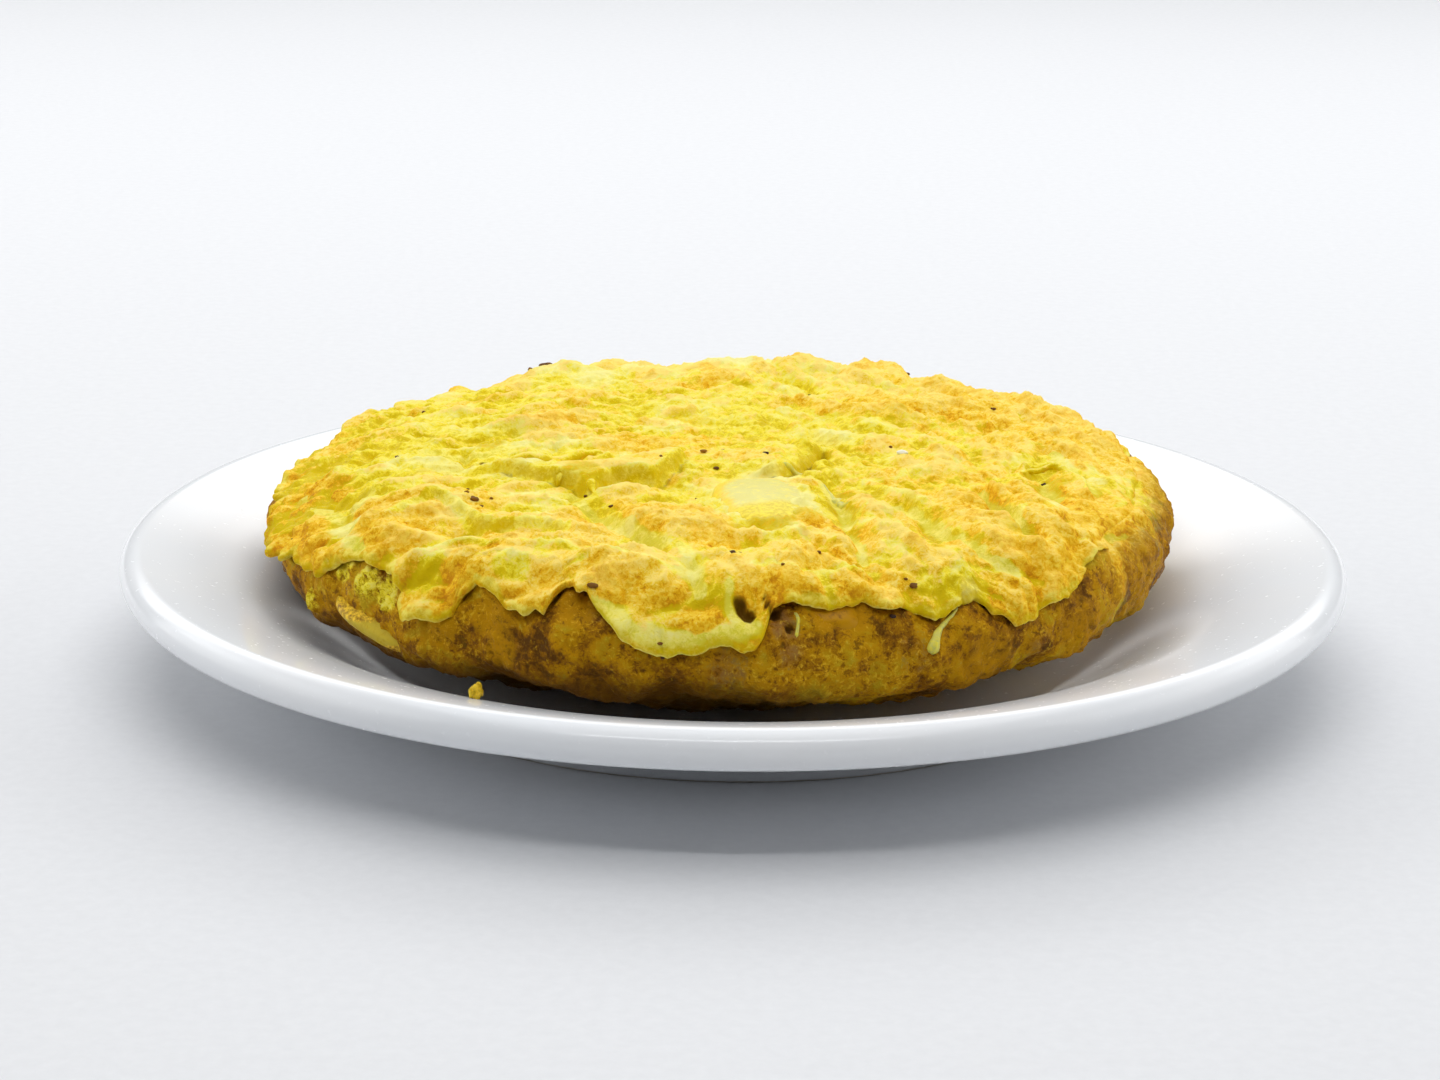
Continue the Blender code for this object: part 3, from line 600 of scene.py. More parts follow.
class Surface:
    """Points of the omelette, by distance from the top's middle and by angle in degrees.

    It works out what the shapes and the colours share: the plain place, the folds, the
    torn edges and the smooth wet valleys.
    """

    def __init__(self, distance, angle, lip):
        self.distance = distance
        self.angle = angle
        self.lip = lip
        radius, height, self.out, self.up = on_outline(distance)
        turn = np.radians(angle)
        self.across = np.stack([np.cos(turn), np.sin(turn)], axis=1)
        self.flat = self.across * distance[:, None]
        self.plain = np.column_stack([self.across * radius[:, None], height])
        self.bare = bareness(angle)
        self.folds = np.zeros(len(distance))
        self.wet = np.zeros(len(distance))
        self.torn = np.zeros(len(distance))
        self.torn_face = np.zeros(len(distance))
        self.hollow = np.zeros(len(distance))
        for path, half_width, rise in FOLDS + FINE_FOLDS:
            near = distance_to_path(self.flat, path) / half_width
            self.folds += rise * np.exp(-near ** 2)
        uneven = layered(self.plain, VALLEY_EDGE)
        for path, half_width, strength in VALLEYS:
            near = distance_to_path(self.flat, path) / half_width + uneven
            self.wet = np.maximum(self.wet, strength * (1.0 - smooth((near - 0.3) / 0.9)))
        self.swell = layered(self.plain, SWELLS)
        for path, half_width, depth in HOLES:
            near = distance_to_path(self.flat, path) / half_width + 0.3 * lumps(self.plain, 1.6)
            self.folds -= depth * np.exp(-np.maximum(near, 0.0) ** 4)
            # painted shade inside the holes
            self.hollow = np.maximum(self.hollow, np.exp(-(np.maximum(near, 0.0) / 1.4) ** 4))
        left = smooth((TURN_FROM - self.flat[:, 0]) / TURN_SPAN)
        drawn = {
            name: left * drawn_lumps(self.plain, *leftward)
            + (1.0 - left) * drawn_lumps(self.plain, *rightward)
            for name, (leftward, rightward) in DRAWN_RELIEF.items()
        }
        behind = smooth((distance - BACK_DISTANCE) / BACK_DISTANCE_SPAN)
        behind = behind * smooth((self.flat[:, 1] - BACK_Y) / BACK_Y_SPAN)
        self.settled = SETTLED * behind * np.clip(self.up, 0.0, 1.0)
        self.puffs = (1.8 * np.abs(drawn["puffs"]) - 0.45) * (1.0 - 0.4 * behind)
        self.streaks = 1.8 * np.abs(drawn["streaks"]) - 0.45
        self.wrinkles = drawn["wrinkles"]
        self.crease = np.exp(-(drawn["veins"] / 0.09) ** 2) * smooth(lumps(self.plain, 24.0) * 2.0 + 0.3)
        self.browning = self.bare * smooth((distance - BROWNING_FROM) / BROWNING_SPAN)
        self.pale = self.patched(PALE)

    def patched(self, patches):
        """0 to 1 round listed places, with uneven edges."""
        total = np.zeros(len(self.distance))
        uneven = layered(self.plain, PATCH_EDGE)
        for place, radius, strength in patches:
            near = distance_to_path(self.flat, (place,)) / radius + uneven
            total = np.maximum(total, strength * (1.0 - smooth((near - 0.45) / 0.8)))
        return total

    def tear(self):
        """Raise the skin behind its torn edges, sink the hollow before each, and paint shade at its foot."""
        for path, rise, fade, depth in TORN_EDGES:
            near, side, share = near_path(self.flat, path)
            behind = near * side + 0.4 * lumps(self.plain, 3.2)
            ends = smooth(share / TEAR_END_SHARE) * smooth((1.0 - share) / TEAR_END_SHARE)
            step = smooth(0.6 + behind / TEAR_WIDTH)
            self.torn += rise * ends * step * (1.0 - smooth(behind / fade))
            under = ends * np.exp(-((behind + TEAR_WIDTH) / TEAR_FOOT_WIDTH) ** 2)
            self.torn -= depth * under
            self.torn_face = np.maximum(self.torn_face, ends * np.exp(-((behind + 0.2) / 1.2) ** 2))
            # painted shade at the foot of the torn edge, darker where the hollow is deeper
            self.hollow = np.maximum(self.hollow, 0.75 * min(depth, 1.0) * under)

    def raised(self, lift):
        """The surface's points, moved out by lift, between the base and the highest crest."""
        resting = smooth((self.distance - BASE_EDGE_DISTANCE + RESTING_SPAN) / RESTING_SPAN)
        lift = lift * (1.0 - resting)
        moved = self.plain.copy()
        moved[:, :2] += self.across * (lift * self.out)[:, None]
        moved[:, 2] = np.maximum(moved[:, 2] + lift * self.up, BASE_HEIGHT)
        moved[:, 2] = eased(moved[:, 2])
        moved[:, 0] += OMELETTE_X
        return moved

    def drawn_height(self):
        """Height of the drawn-out streaks and wrinkles."""
        return 1.1 * self.streaks + 0.45 * self.wrinkles

    def top_detail(self):
        """Height of the top's drawn-out wrinkles and granular toast."""
        smoothness = np.maximum(self.wet, 0.8 * self.pale)
        rough = 1.0 - 0.6 * smoothness
        detail = (1.0 - 0.5 * smoothness) * self.drawn_height() + 1.5 * self.puffs
        detail -= 0.5 * self.crease
        detail += rough * (0.60 * grains(self.plain, 3.6) + 0.40 * grains(self.plain, 1.9) - 0.30)
        detail += rough * 0.22 * lumps(self.plain, 1.1)
        return detail

    def side_detail(self):
        """Height of the side crust's crags and grain."""
        detail = 0.9 * lumps(self.plain, 7.0) + 0.5 * grains(self.plain, 5.0) - 0.3
        detail += 0.4 * grains(self.plain, 2.6) + 0.2 * grains(self.plain, 1.4) - 0.25
        detail += self.patched(MOIST_PATCHES) * (1.6 * grains(self.plain, 2.2) - 0.3)
        return detail

    def blended_detail(self):
        """The top's detail, turning into the side's where the toasted crust has no lip."""
        turning = self.bare * smooth((self.distance - SIDE_RELIEF_FROM) / SIDE_RELIEF_SPAN)
        return (1.0 - turning) * self.top_detail() + turning * self.side_detail()

    def skin_lift(self):
        """How far the top skin's outer face stands over the plain turned form."""
        self.tear()
        edge = smooth(1.0 - (self.lip - self.distance) / SKIN_SWELL)
        dive = self.bare * smooth((self.distance - self.lip + 6.0) / 4.0)
        form = self.folds + self.swell + self.torn + skin_thickness(self.angle) * edge
        return form + self.blended_detail() - 1.2 * dive - self.settled

    def crust_lift(self):
        """How far the side crust stands out, sunk where the skin covers it."""
        detail = (1.0 - self.bare) * self.side_detail() + self.bare * self.blended_detail()
        cover = self.lip - 3.0 - 4.0 * self.bare
        shown = smooth((self.distance - cover) / 4.5)
        return self.folds + self.swell + detail * shown - 1.8 * (1.0 - shown) - self.settled

    def toasting(self):
        """How toasted the top is, from 0 to 1."""
        toast = 0.40 + layered(self.plain, TOASTING) + 0.35 * self.puffs + 0.30 * self.streaks
        toast += 0.22 * smooth((self.flat[:, 0] - 20.0) / 60.0) + 0.10 * (self.folds + self.swell)
        toast -= 0.9 * self.wet + 0.4 * self.crease + 0.8 * self.torn_face + 0.7 * self.pale
        for place, radius, strength in PATCHES:
            toast += strength * np.exp(-(distance_to_path(self.flat, (place,)) / radius) ** 2)
        return toast

    def marks(self, side, rim=0.0):
        """The values that the material reads, by name."""
        height = 1.5 * self.puffs + self.drawn_height() + 0.5 * self.folds
        return {
            "toast": self.toasting(),
            "wet": self.wet,
            "pale": self.pale,
            "yolk": self.patched(DEEP_PATCHES),
            # height of the relief, read as painted shade: deeper colour in low places, paler on crests
            "relief": 0.5 + 0.28 * height,
            "side": side,
            "rim": np.maximum(rim, self.torn_face),
            # painted shade in the holes, at the feet of torn edges and low on the side
            "hollow": self.hollow,
            "amber": self.patched(AMBER_PATCHES),
            "moist": self.patched(MOIST_PATCHES),
            "lace": self.patched(LACE_PATCHES),
        }


# Mesh helpers
def ring_start(ring):
    return 1 + 3 * ring * (ring - 1) if ring else 0


def disc_faces(rings):
    """Triangles of a disc whose ring k has 6 k points round a middle point."""
    faces = []
    sector = np.arange(6)[:, None]
    for ring in range(rings):
        i = np.arange(ring + 1)
        inner = ring_start(ring) + (sector * ring + i) % max(6 * ring, 1)
        outer = ring_start(ring + 1) + sector * (ring + 1) + i
        after = ring_start(ring + 1) + (sector * (ring + 1) + i + 1) % (6 * ring + 6)
        faces.append(np.stack([inner, outer, after], axis=-1).reshape(-1, 3))
        i = np.arange(ring)
        inner = ring_start(ring) + sector * ring + i
        after = ring_start(ring + 1) + sector * (ring + 1) + i + 1
        beside = ring_start(ring) + (sector * ring + i + 1) % max(6 * ring, 1)
        faces.append(np.stack([inner, after, beside], axis=-1).reshape(-1, 3))
    return np.concatenate(faces)


def band_faces(start, count, bands):
    """Quads between rings of equal count, the first of which begins at point start."""
    here = np.arange(count)
    after = (here + 1) % count
    rows = start + count * np.arange(bands)[:, None]
    corners = [rows + here, rows + count + here, rows + count + after, rows + after]
    return np.stack(corners, axis=-1).reshape(-1, 4)


def fan_faces(start, count, tip):
    here = np.arange(count)
    return np.stack([start + here, np.full(count, tip), start + (here + 1) % count], axis=-1)


def write_piece(name, points, faces, material, marks=None, replaces=()):
    """Make a mesh of points in millimetres, with its marks as attributes, and place it."""
    mesh = bpy.data.meshes.new(name)
    mesh.from_pydata((points * MM).tolist(), [], [face for group in faces for face in group.tolist()])
    marks = dict(marks or {})
    if "toast" in marks:
        normals = np.empty(3 * len(mesh.vertices), np.float32)
        mesh.vertex_normals.foreach_get("vector", normals)
        # how steep each point is, read by the material as painted shade on slopes
        marks["slope"] = 1.0 - np.abs(normals[2::3])
    for mark_name, values in marks.items():
        attribute = mesh.attributes.new(mark_name, "FLOAT", "POINT")
        attribute.data.foreach_set("value", np.clip(values, 0.0, 1.0).astype(np.float32))
    mesh.shade_smooth()
    mesh.materials.append(material)
    piece = bpy.data.objects.new(name, mesh)
    bpy.context.scene.collection.objects.link(piece)
    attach(piece, BODY)
    if replaces:
        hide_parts(*replaces)
    return piece


def smooth_path(path, spacing=0.6):
    """Points along a path with its corners rounded off, an even spacing apart."""
    points = np.array(path, float)
    for _ in range(3):
        here, after = points[:-1], points[1:]
        cut = np.stack([0.75 * here + 0.25 * after, 0.25 * here + 0.75 * after], axis=1)
        points = np.concatenate([points[:1], cut.reshape(-1, points.shape[1]), points[-1:]])
    run = np.concatenate([[0.0], np.cumsum(np.linalg.norm(np.diff(points, axis=0), axis=1))])
    even = np.linspace(0.0, run[-1], max(int(run[-1] / spacing), 4))
    return np.column_stack([np.interp(even, run, column) for column in points.T])


def on_surface(flat, standing):
    """Places and outward directions of points of the flat that stand out from the surface."""
    distance = np.hypot(flat[:, 0], flat[:, 1])
    angle = np.degrees(np.arctan2(flat[:, 1], flat[:, 0]))
    surface = Surface(distance, angle, lip_line(angle, 1.0))
    on_top = surface.skin_lift()
    lift = np.where(distance < surface.lip, on_top, surface.crust_lift())
    outward = np.column_stack([surface.across * surface.out[:, None], surface.up])
    return surface.raised(lift + standing), outward


def roll(path, radii, standing):
    """Points and faces of a tapering roll along a path over the surface."""
    flat = smooth_path(path)
    count = len(flat)
    share = np.linspace(0.0, 1.0, count)
    middle, outward = on_surface(flat, standing)
    middle = np.column_stack([
        np.convolve(np.pad(line, 2, "edge"), np.ones(5) / 5, "valid") for line in middle.T])
    ahead = np.gradient(middle, axis=0)
    ahead /= np.linalg.norm(ahead, axis=1)[:, None]
    aside = np.cross(outward, ahead)
    aside /= np.linalg.norm(aside, axis=1)[:, None]
    outward = np.cross(ahead, aside)
    ends = np.sqrt(np.clip(np.minimum(share, 1.0 - share) * count * 0.6 / max(radii), 0.02, 1.0))
    radius = np.interp(share, (0.0, 0.5, 1.0), radii) * ends
    turn = np.linspace(0.0, 2 * math.pi, ROLL_SIDES, endpoint=False)[None, :, None]
    rim = np.cos(turn) * aside[:, None, :] + 0.9 * np.sin(turn) * outward[:, None, :]
    points = (middle[:, None, :] + radius[:, None, None] * rim).reshape(-1, 3)
    uneven = layered(points, ROLL_UNEVENNESS)
    points += (rim.reshape(-1, 3).T * np.repeat(radius, ROLL_SIDES) * uneven).T
    points = np.concatenate([points, middle[:1], middle[-1:]])
    points[:, 2] = eased(points[:, 2])
    last = len(points) - 1
    faces = [band_faces(0, ROLL_SIDES, count - 1)[:, ::-1], fan_faces(0, ROLL_SIDES, last - 1),
             fan_faces(last - 1 - ROLL_SIDES, ROLL_SIDES, last)[:, ::-1]]
    return points, faces


def pebble(middle, sizes, turn, uneven=0.3):
    """A small uneven lump with half sizes along its length, width and height."""
    form = bmesh.new()
    bmesh.ops.create_icosphere(form, subdivisions=3, radius=1.0)
    points = np.array([vertex.co for vertex in form.verts])
    faces = np.array([[corner.index for corner in face.verts] for face in form.faces])
    form.free()
    bulge = uneven * lumps(points + middle, 0.9) + 0.5 * uneven * lumps(points - middle, 0.4)
    points *= (1.0 + bulge)[:, None]
    points *= np.array(sizes)
    spun = points.copy()
    spun[:, 0] = points[:, 0] * math.cos(turn) - points[:, 1] * math.sin(turn)
    spun[:, 1] = points[:, 0] * math.sin(turn) + points[:, 1] * math.cos(turn)
    return spun + middle, [faces]


def gathered(parts):
    """Many small meshes as one: points, faces, and the number of points of each."""
    counts = [len(points) for points, _ in parts]
    starts = np.concatenate([[0], np.cumsum(counts)[:-1]])
    faces = [group + start for (_, groups), start in zip(parts, starts) for group in groups]
    return np.concatenate([points for points, _ in parts]), faces, counts


# Shader helpers
class Wire:
    """A socket of a material's nodes. Arithmetic on wires adds Math nodes."""

    def __init__(self, tree, socket=None):
        self.tree = tree
        self.socket = socket

    def add(self, kind, settings=None, inputs=None, output=0):
        """Add a node: its settings first, then the values or wires of its sockets."""
        node = self.tree.nodes.new(kind)
        for name, value in (settings or {}).items():
            if name == "stops":
                ramp = node.color_ramp
                while len(ramp.elements) < len(value):
                    ramp.elements.new(0.5)
                for element, (position, colour) in zip(ramp.elements, value):
                    element.position = position
                    element.color = rgba(colour)
            else:
                setattr(node, name, value)
        for name, value in (inputs or {}).items():
            if isinstance(value, Wire):
                self.tree.links.new(value.socket, node.inputs[name])
            else:
                node.inputs[name].default_value = value
        return Wire(self.tree, node.outputs[output])

    def math(self, operation, *values):
        return self.add("ShaderNodeMath", {"operation": operation}, dict(enumerate(values)))

    def __add__(self, other):
        return self.math("ADD", self, other)

    def __radd__(self, other):
        return self.math("ADD", other, self)

    def __sub__(self, other):
        return self.math("SUBTRACT", self, other)

    def __rsub__(self, other):
        return self.math("SUBTRACT", other, self)

    def __mul__(self, other):
        return self.math("MULTIPLY", self, other)

    def __rmul__(self, other):
        return self.math("MULTIPLY", other, self)

    def rise(self, low, high):
        """0 below low, 1 above high, with a smooth rise between."""
        settings = {"interpolation_type": "SMOOTHSTEP"}
        return self.add("ShaderNodeMapRange", settings, {0: self, 1: low, 2: high, 3: 0.0, 4: 1.0})

    def ramp(self, *stops):
        return self.add("ShaderNodeValToRGB", {"stops": stops}, {0: self})

    def blend(self, other, share):
        """This colour, with a share of the other colour mixed in."""
        other = other if isinstance(other, Wire) else rgba(other)
        return self.add("ShaderNodeMix", {"data_type": "RGBA"}, {0: share, 6: self, 7: other}, 2)


def rgba(colour):
    return (*colour, 1.0)


def new_material(name):
    """A material, and a wire to start its nodes from."""
    material = bpy.data.materials.new(name)
    material.use_nodes = True
    return material, Wire(material.node_tree)


def finish_material(material, feeds, fixed):
    """Feed the shader what changes over the surface, and set the rest on its sockets."""
    shader = material.node_tree.nodes["Principled BSDF"]
    for name, wire in feeds.items():
        material.node_tree.links.new(wire.socket, shader.inputs[name])
    for name, value in fixed.items():
        shader.inputs[name].default_value = value
    return material


def place_of(start):
    return start.add("ShaderNodeTexCoord", {}, {}, 3)


def noise(start, place, across, detail=4.0, roughness=0.6, distortion=0.0):
    """Noise from 0 to 1 with features about across millimetres wide."""
    inputs = {"Vector": place, "Scale": 1.0 / (across * MM), "Detail": detail,
              "Roughness": roughness, "Distortion": distortion}
    return start.add("ShaderNodeTexNoise", {}, inputs)


def mark(start, name):
    return start.add("ShaderNodeAttribute", {"attribute_name": name}, {}, 2)


def bump(start, height, strength, depth):
    inputs = {"Height": height, "Strength": strength, "Distance": depth * MM}
    return start.add("ShaderNodeBump", {}, inputs)


# Settings
def colour_setting(name, description, default):
    return FloatVectorProperty(
        name=name, description=description, subtype="COLOR", default=default, min=0.0, max=1.0)


def power_setting(name, description, default):
    return FloatProperty(
        name=name, description=description, subtype="POWER", default=default, min=0.0)


class OmeletteColours(PropertyGroup):
    yellow: colour_setting("Set egg", "Smooth set egg of the top", (0.90, 0.74, 0.028))
    # deep yellow is also the painted shade of the egg on slopes and in low places
    deep_yellow_and_slope_shade: colour_setting("Deep yellow", "Egg on the slopes of the folds", (0.72, 0.53, 0.002))
    moist: colour_setting("Moist egg", "Pale egg in the valleys", (0.90, 0.79, 0.14))
    # green is partly the egg's own tint and partly painted shade low in the valleys
    green: colour_setting("Green egg", "Darker egg deep in the valleys", (0.76, 0.66, 0.05))
    cream: colour_setting("Cream", "Egg over the potato", (0.90, 0.82, 0.27))
    pale_gold: colour_setting("Pale toast", "Dry raised grains of the toasted skin", (0.97, 0.73, 0.17))
    gold: colour_setting("Light toast", "Most of the toasted skin", (0.93, 0.63, 0.040))
    orange: colour_setting("Deep toast", "Gaps between the toasted grains", (0.83, 0.44, 0.005))
    russet: colour_setting("Darkest toast", "Most toasted spots of the top", (0.62, 0.25, 0.006))
    amber: colour_setting("Amber", "Smooth fried patches of the side", (0.52, 0.255, 0.002))
    brown: colour_setting("Brown", "Fried crust of the side", (0.27, 0.11, 0.004))
    # also the colour of the painted shade in holes, under torn edges and low on the side
    dark_crust_and_shade: colour_setting("Dark brown", "Darkest parts of the side crust", (0.11, 0.045, 0.004))
    olive: colour_setting("Olive", "Yellow egg that shows through the side crust", (0.50, 0.33, 0.010))
    lace: colour_setting("Purple brown", "Lacy crust of the side", (0.21, 0.11, 0.05))
    scorched: colour_setting("Scorched", "Bits that caught in the pan", (0.05, 0.025, 0.018))
    side_potato: colour_setting("Side potato", "Potato slice that shows in the side", (0.57, 0.43, 0.03))
    potato: colour_setting("Potato", "Flesh of the potato pieces", (0.76, 0.69, 0.20))
    onion: colour_setting("Onion", "Softened onion", (0.57, 0.55, 0.13))


class OmeletteSizes(PropertyGroup):
    skin_rings: IntProperty(
        name="Skin rings", description="Rings of points from the middle of the top to its lip",
        default=158, min=20, max=170)
    side_points: IntProperty(
        name="Side points", description="Points round the side crust", default=1000, min=200, max=1200)
    side_rings: IntProperty(
        name="Side rings", description="Rings of points down the side crust", default=84, min=20, max=100)
    raggedness: FloatProperty(
        name="Raggedness", description="How torn the lip of the skin is", default=1.0, min=0.0, max=3.0)


class PlateFinish(PropertyGroup):
    glaze: colour_setting("Glaze", "Glazed porcelain", (0.85, 0.865, 0.885))
    bisque: colour_setting("Bare clay", "Unglazed foot of the plate", (0.62, 0.58, 0.52))
    steps: IntProperty(
        name="Steps", description="Points round the plate", default=288, min=32, max=512)


class StudioLight(PropertyGroup):
    key: power_setting("Key", "Power of the light overhead", 4.05)
    strip: power_setting("Strip", "Power of the narrow light in front", 1.3)
    back: power_setting("Back", "Power of the light behind", 4.5)
    far: power_setting("Far", "Power of the light over the far floor", 11.5)
    sides: power_setting("Sides", "Power of each light at the side", 5.0)
    room: FloatProperty(
        name="Room", description="Brightness of the pale surroundings", default=0.23, min=0.0)


# Materials
def made_once(name, make):
    return bpy.data.materials.get(name) or make(name)


def egg_material(name):
    """Cooked egg: pale where moist, yellow where set, toasted on top, fried at the side, with painted shade
    on slopes, in low places and in hollows.
    """
    colours = bpy.context.scene.omelette_colours
    material, start = new_material(name)
    place = place_of(start)
    # the slope and relief marks carry painted shade, and so does the hollow mark
    toast, wet, pale, yolk, slope, side, rim, hollow, amber, moist, lace = (
        mark(start, mark_name) for mark_name in (
            "toast", "wet", "pale", "yolk", "slope", "side", "rim", "hollow", "amber", "moist", "lace"))
    relief = mark(start, "relief") - 0.5
    speckle = noise(start, place, 1.0, 3.0, 0.75, 0.6)
    grain = noise(start, place, 2.6, 5.0, 0.7, 0.4)
    patches = noise(start, place, 8.0, 4.0, 0.6, 0.5)
    clouds = noise(start, place, 26.0, 3.0, 0.5)
    fine = speckle * 0.6 + grain * 0.4
    # the same about 0, to make the edges of the other marks uneven
    specked, grained, patched, clouded = speckle - 0.5, grain - 0.5, patches - 0.5, clouds - 0.5

    # top: smooth egg, pale where moist, with painted shade that deepens it on slopes and in low places and
    # lightens the crests
    mottle = fine * 0.7 + patches * 0.3 + relief * 0.24
    egg = (mottle - slope * 0.30 + clouded * 0.25).ramp(
        (0.37, colours.deep_yellow_and_slope_shade), (0.445, colours.yellow), (0.52, colours.moist), (0.60, colours.cream))
    valley = (mottle - slope * 0.2).ramp((0.38, colours.green), (0.47, colours.moist), (0.60, colours.cream))
    egg = egg.blend(valley, (wet + clouded * 0.8 + grained * 0.9).rise(0.2, 0.75))
    cream = (mottle + pale * 0.06).ramp((0.36, colours.yellow), (0.48, colours.cream))
    egg = egg.blend(cream, (pale + grained * 0.6).rise(0.2, 0.8))
    # top: toasted grains, with deeper gaps, and painted shade that deepens them on slopes and in low places
    # and lightens the crests
    toasted = (fine - slope * 0.26 + patched * 0.25 + relief * 0.22).ramp(
        (0.29, colours.russet), (0.38, colours.orange), (0.46, colours.gold), (0.555, colours.pale_gold))
    dryness = (toast + grained * 1.2 + specked * 0.8 + patched * 0.5).rise(0.25, 0.62)
    top = egg.blend(toasted, dryness)
    # darkest toast, more of it on slopes as painted shade
    darkest = fine.ramp((0.32, colours.russet), (0.46, colours.orange), (0.58, colours.gold))
    top = top.blend(darkest, (toast + slope * 0.6 + patched * 1.6 + grained * 1.2).rise(0.85, 1.25) * 0.75)
    # top: places of deep yellow, and the plain egg of the lip and the torn edges, deeper on slopes as painted
    # shade
    deep = fine.ramp((0.36, colours.orange), (0.50, colours.deep_yellow_and_slope_shade))
    top = top.blend(deep, (yolk + grained * 0.8).rise(0.2, 0.9) * 0.8)
    edge = (mottle - slope * 0.3).ramp((0.29, colours.deep_yellow_and_slope_shade), (0.53, colours.moist))
    top = top.blend(edge, (rim * 0.8 + grained + patched * 2.0).rise(0.45, 0.95) * 0.8)

    # side: fried crust over smooth amber, moist crumbly egg and purple brown lace
    fried = (patches * 0.50 + grain * 0.30 + speckle * 0.20 + clouded * 0.32).ramp(
        (0.40, colours.dark_crust_and_shade), (0.455, colours.brown), (0.53, colours.amber), (0.61, colours.olive))
    fried = fried.blend(colours.amber, (amber + grained * 0.7).rise(0.2, 0.8) * 0.8)
    fried = fried.blend(colours.lace, (lace * 0.7 + grained * 2.4 + specked).rise(0.3, 0.9) * 0.65)
    fried = fried.blend(colours.dark_crust_and_shade, (grained * -1.0 - specked * 0.8).rise(0.06, 0.20) * 0.6)
    fried = fried.blend(colours.gold, (speckle + clouded * 0.4).rise(0.55, 0.70) * 0.40)
    # crumbly egg of the side, a little deeper on slopes as painted shade
    crumbly = (fine - slope * 0.1).ramp(
        (0.29, colours.brown), (0.36, colours.olive), (0.44, colours.yellow), (0.54, colours.moist))
    fried = fried.blend(crumbly, (moist + grained * 2.0).rise(0.25, 0.85))
    body = top.blend(fried, (side + grained * 0.8).rise(0.30, 0.95))
    # painted shade: dark brown in the holes, at the feet of torn edges and low on the side
    body = body.blend(colours.dark_crust_and_shade, (hollow + grained * 0.5).rise(0.35, 0.9) * 0.9)

    return finish_material(material, {
        "Base Color": body,
        "Roughness": 0.36 + dryness * 0.22 + grained * 0.25 - amber * 0.08,
        "Normal": bump(start, fine, 0.85, 0.70),
    }, {
        "Subsurface Weight": 0.10, "Subsurface Radius": (1.0, 0.6, 0.10), "Subsurface Scale": 1.2 * MM,
        "Specular IOR Level": 0.05,
    })


def potato_material(name):
    """Potato in its skin of egg, browner towards the edges of the slice."""
    material, start = new_material(name)
    place = place_of(start)
    colours = bpy.context.scene.omelette_colours
    low, flesh, border = (getattr(colours, colour) for colour in POTATO_COLOURS[name])
    speckle = noise(start, place, 0.9, 3.0, 0.7)
    grain = noise(start, place, 3.0, 4.0, 0.6, 0.4)
    specked, grained = speckle - 0.5, grain - 0.5
    body = (grain * 0.5 + speckle * 0.5).ramp((0.36, low), (0.50, flesh))
    browned = speckle.ramp((0.36, border), (0.62, colours.gold))
    body = body.blend(browned, (mark(start, "toast") + grained * 0.8 + specked * 0.5).rise(0.35, 0.80))
    deep = speckle.ramp((0.38, colours.deep_yellow_and_slope_shade), (0.60, colours.yellow))
    body = body.blend(deep, (mark(start, "yolk") + grained * 0.8).rise(0.2, 0.8) * 0.9)
    return finish_material(material, {
        "Base Color": body,
        "Roughness": 0.36 + grained * 0.3,
        "Normal": bump(start, speckle * 0.6 + grain * 0.6, 0.6, 0.3),
    }, {
        "Subsurface Weight": 0.2, "Subsurface Radius": (1.0, 0.75, 0.2), "Subsurface Scale": 1.5 * MM,
        "Specular IOR Level": 0.15,
    })


def onion_material(name):
    """Softened onion, yellow green and half clear, with faint veins."""
    colours = bpy.context.scene.omelette_colours
    material, start = new_material(name)
    veins = noise(start, place_of(start), 1.6, 3.0, 0.6, 1.5)
    colour = veins.ramp((0.35, colours.onion), (0.65, colours.green))
    feeds = {"Base Color": colour, "Roughness": 0.22 + veins * 0.2, "Normal": bump(start, veins, 0.5, 0.3)}
    return finish_material(material, feeds, {
        "Subsurface Weight": 0.4, "Subsurface Radius": (1.0, 0.9, 0.4),
        "Subsurface Scale": 2.0 * MM, "Specular IOR Level": 0.3})


def bits_material(name):
    """Scorched bits, from black to the white of one dry fleck."""
    colours = bpy.context.scene.omelette_colours
    material, start = new_material(name)
    crumble = noise(start, place_of(start), 0.8, 3.0, 0.7)
    tone = mark(start, "tone") + (crumble - 0.5) * 0.25
    colour = tone.ramp(
        (0.05, colours.scorched), (0.30, colours.brown), (0.55, colours.gold), (0.9, (0.9, 0.9, 0.86)))
    feeds = {"Base Color": colour, "Roughness": 0.5 + crumble * 0.3, "Normal": bump(start, crumble, 0.6, 0.2)}
    return finish_material(material, feeds, {"Specular IOR Level": 0.2})


def glaze_material(name):
    """Glazed porcelain: faint pooling and pinholes in the glaze, bare clay under the foot."""
    finish = bpy.context.scene.plate_finish
    material, start = new_material(name)
    place = place_of(start)
    pooling = noise(start, place, 60.0, 2.0, 0.5)
    pinholes = noise(start, place, 1.4, 2.0, 0.5)
    height = start.add("ShaderNodeSeparateXYZ", {}, {0: place}, 2)
    bare = 1.0 - (height + (pinholes - 0.5) * 0.0004).rise(0.0002, 0.0007)
    cooler = tuple(value * scale for value, scale in zip(finish.glaze, (0.97, 0.985, 1.0)))
    colour = pooling.ramp((0.35, cooler), (0.65, finish.glaze)).blend(finish.bisque, bare)
    roughness = 0.14 + (pooling - 0.5) * 0.05 + pinholes.rise(0.66, 0.72) * 0.15 + bare * 0.5
    orange_peel = noise(start, place, 9.0, 2.0, 0.5)
    feeds = {"Base Color": colour, "Roughness": roughness,
             "Normal": bump(start, orange_peel + pinholes * 0.02, 0.25, 0.06)}
    return finish_material(material, feeds, {"Specular IOR Level": 0.42})


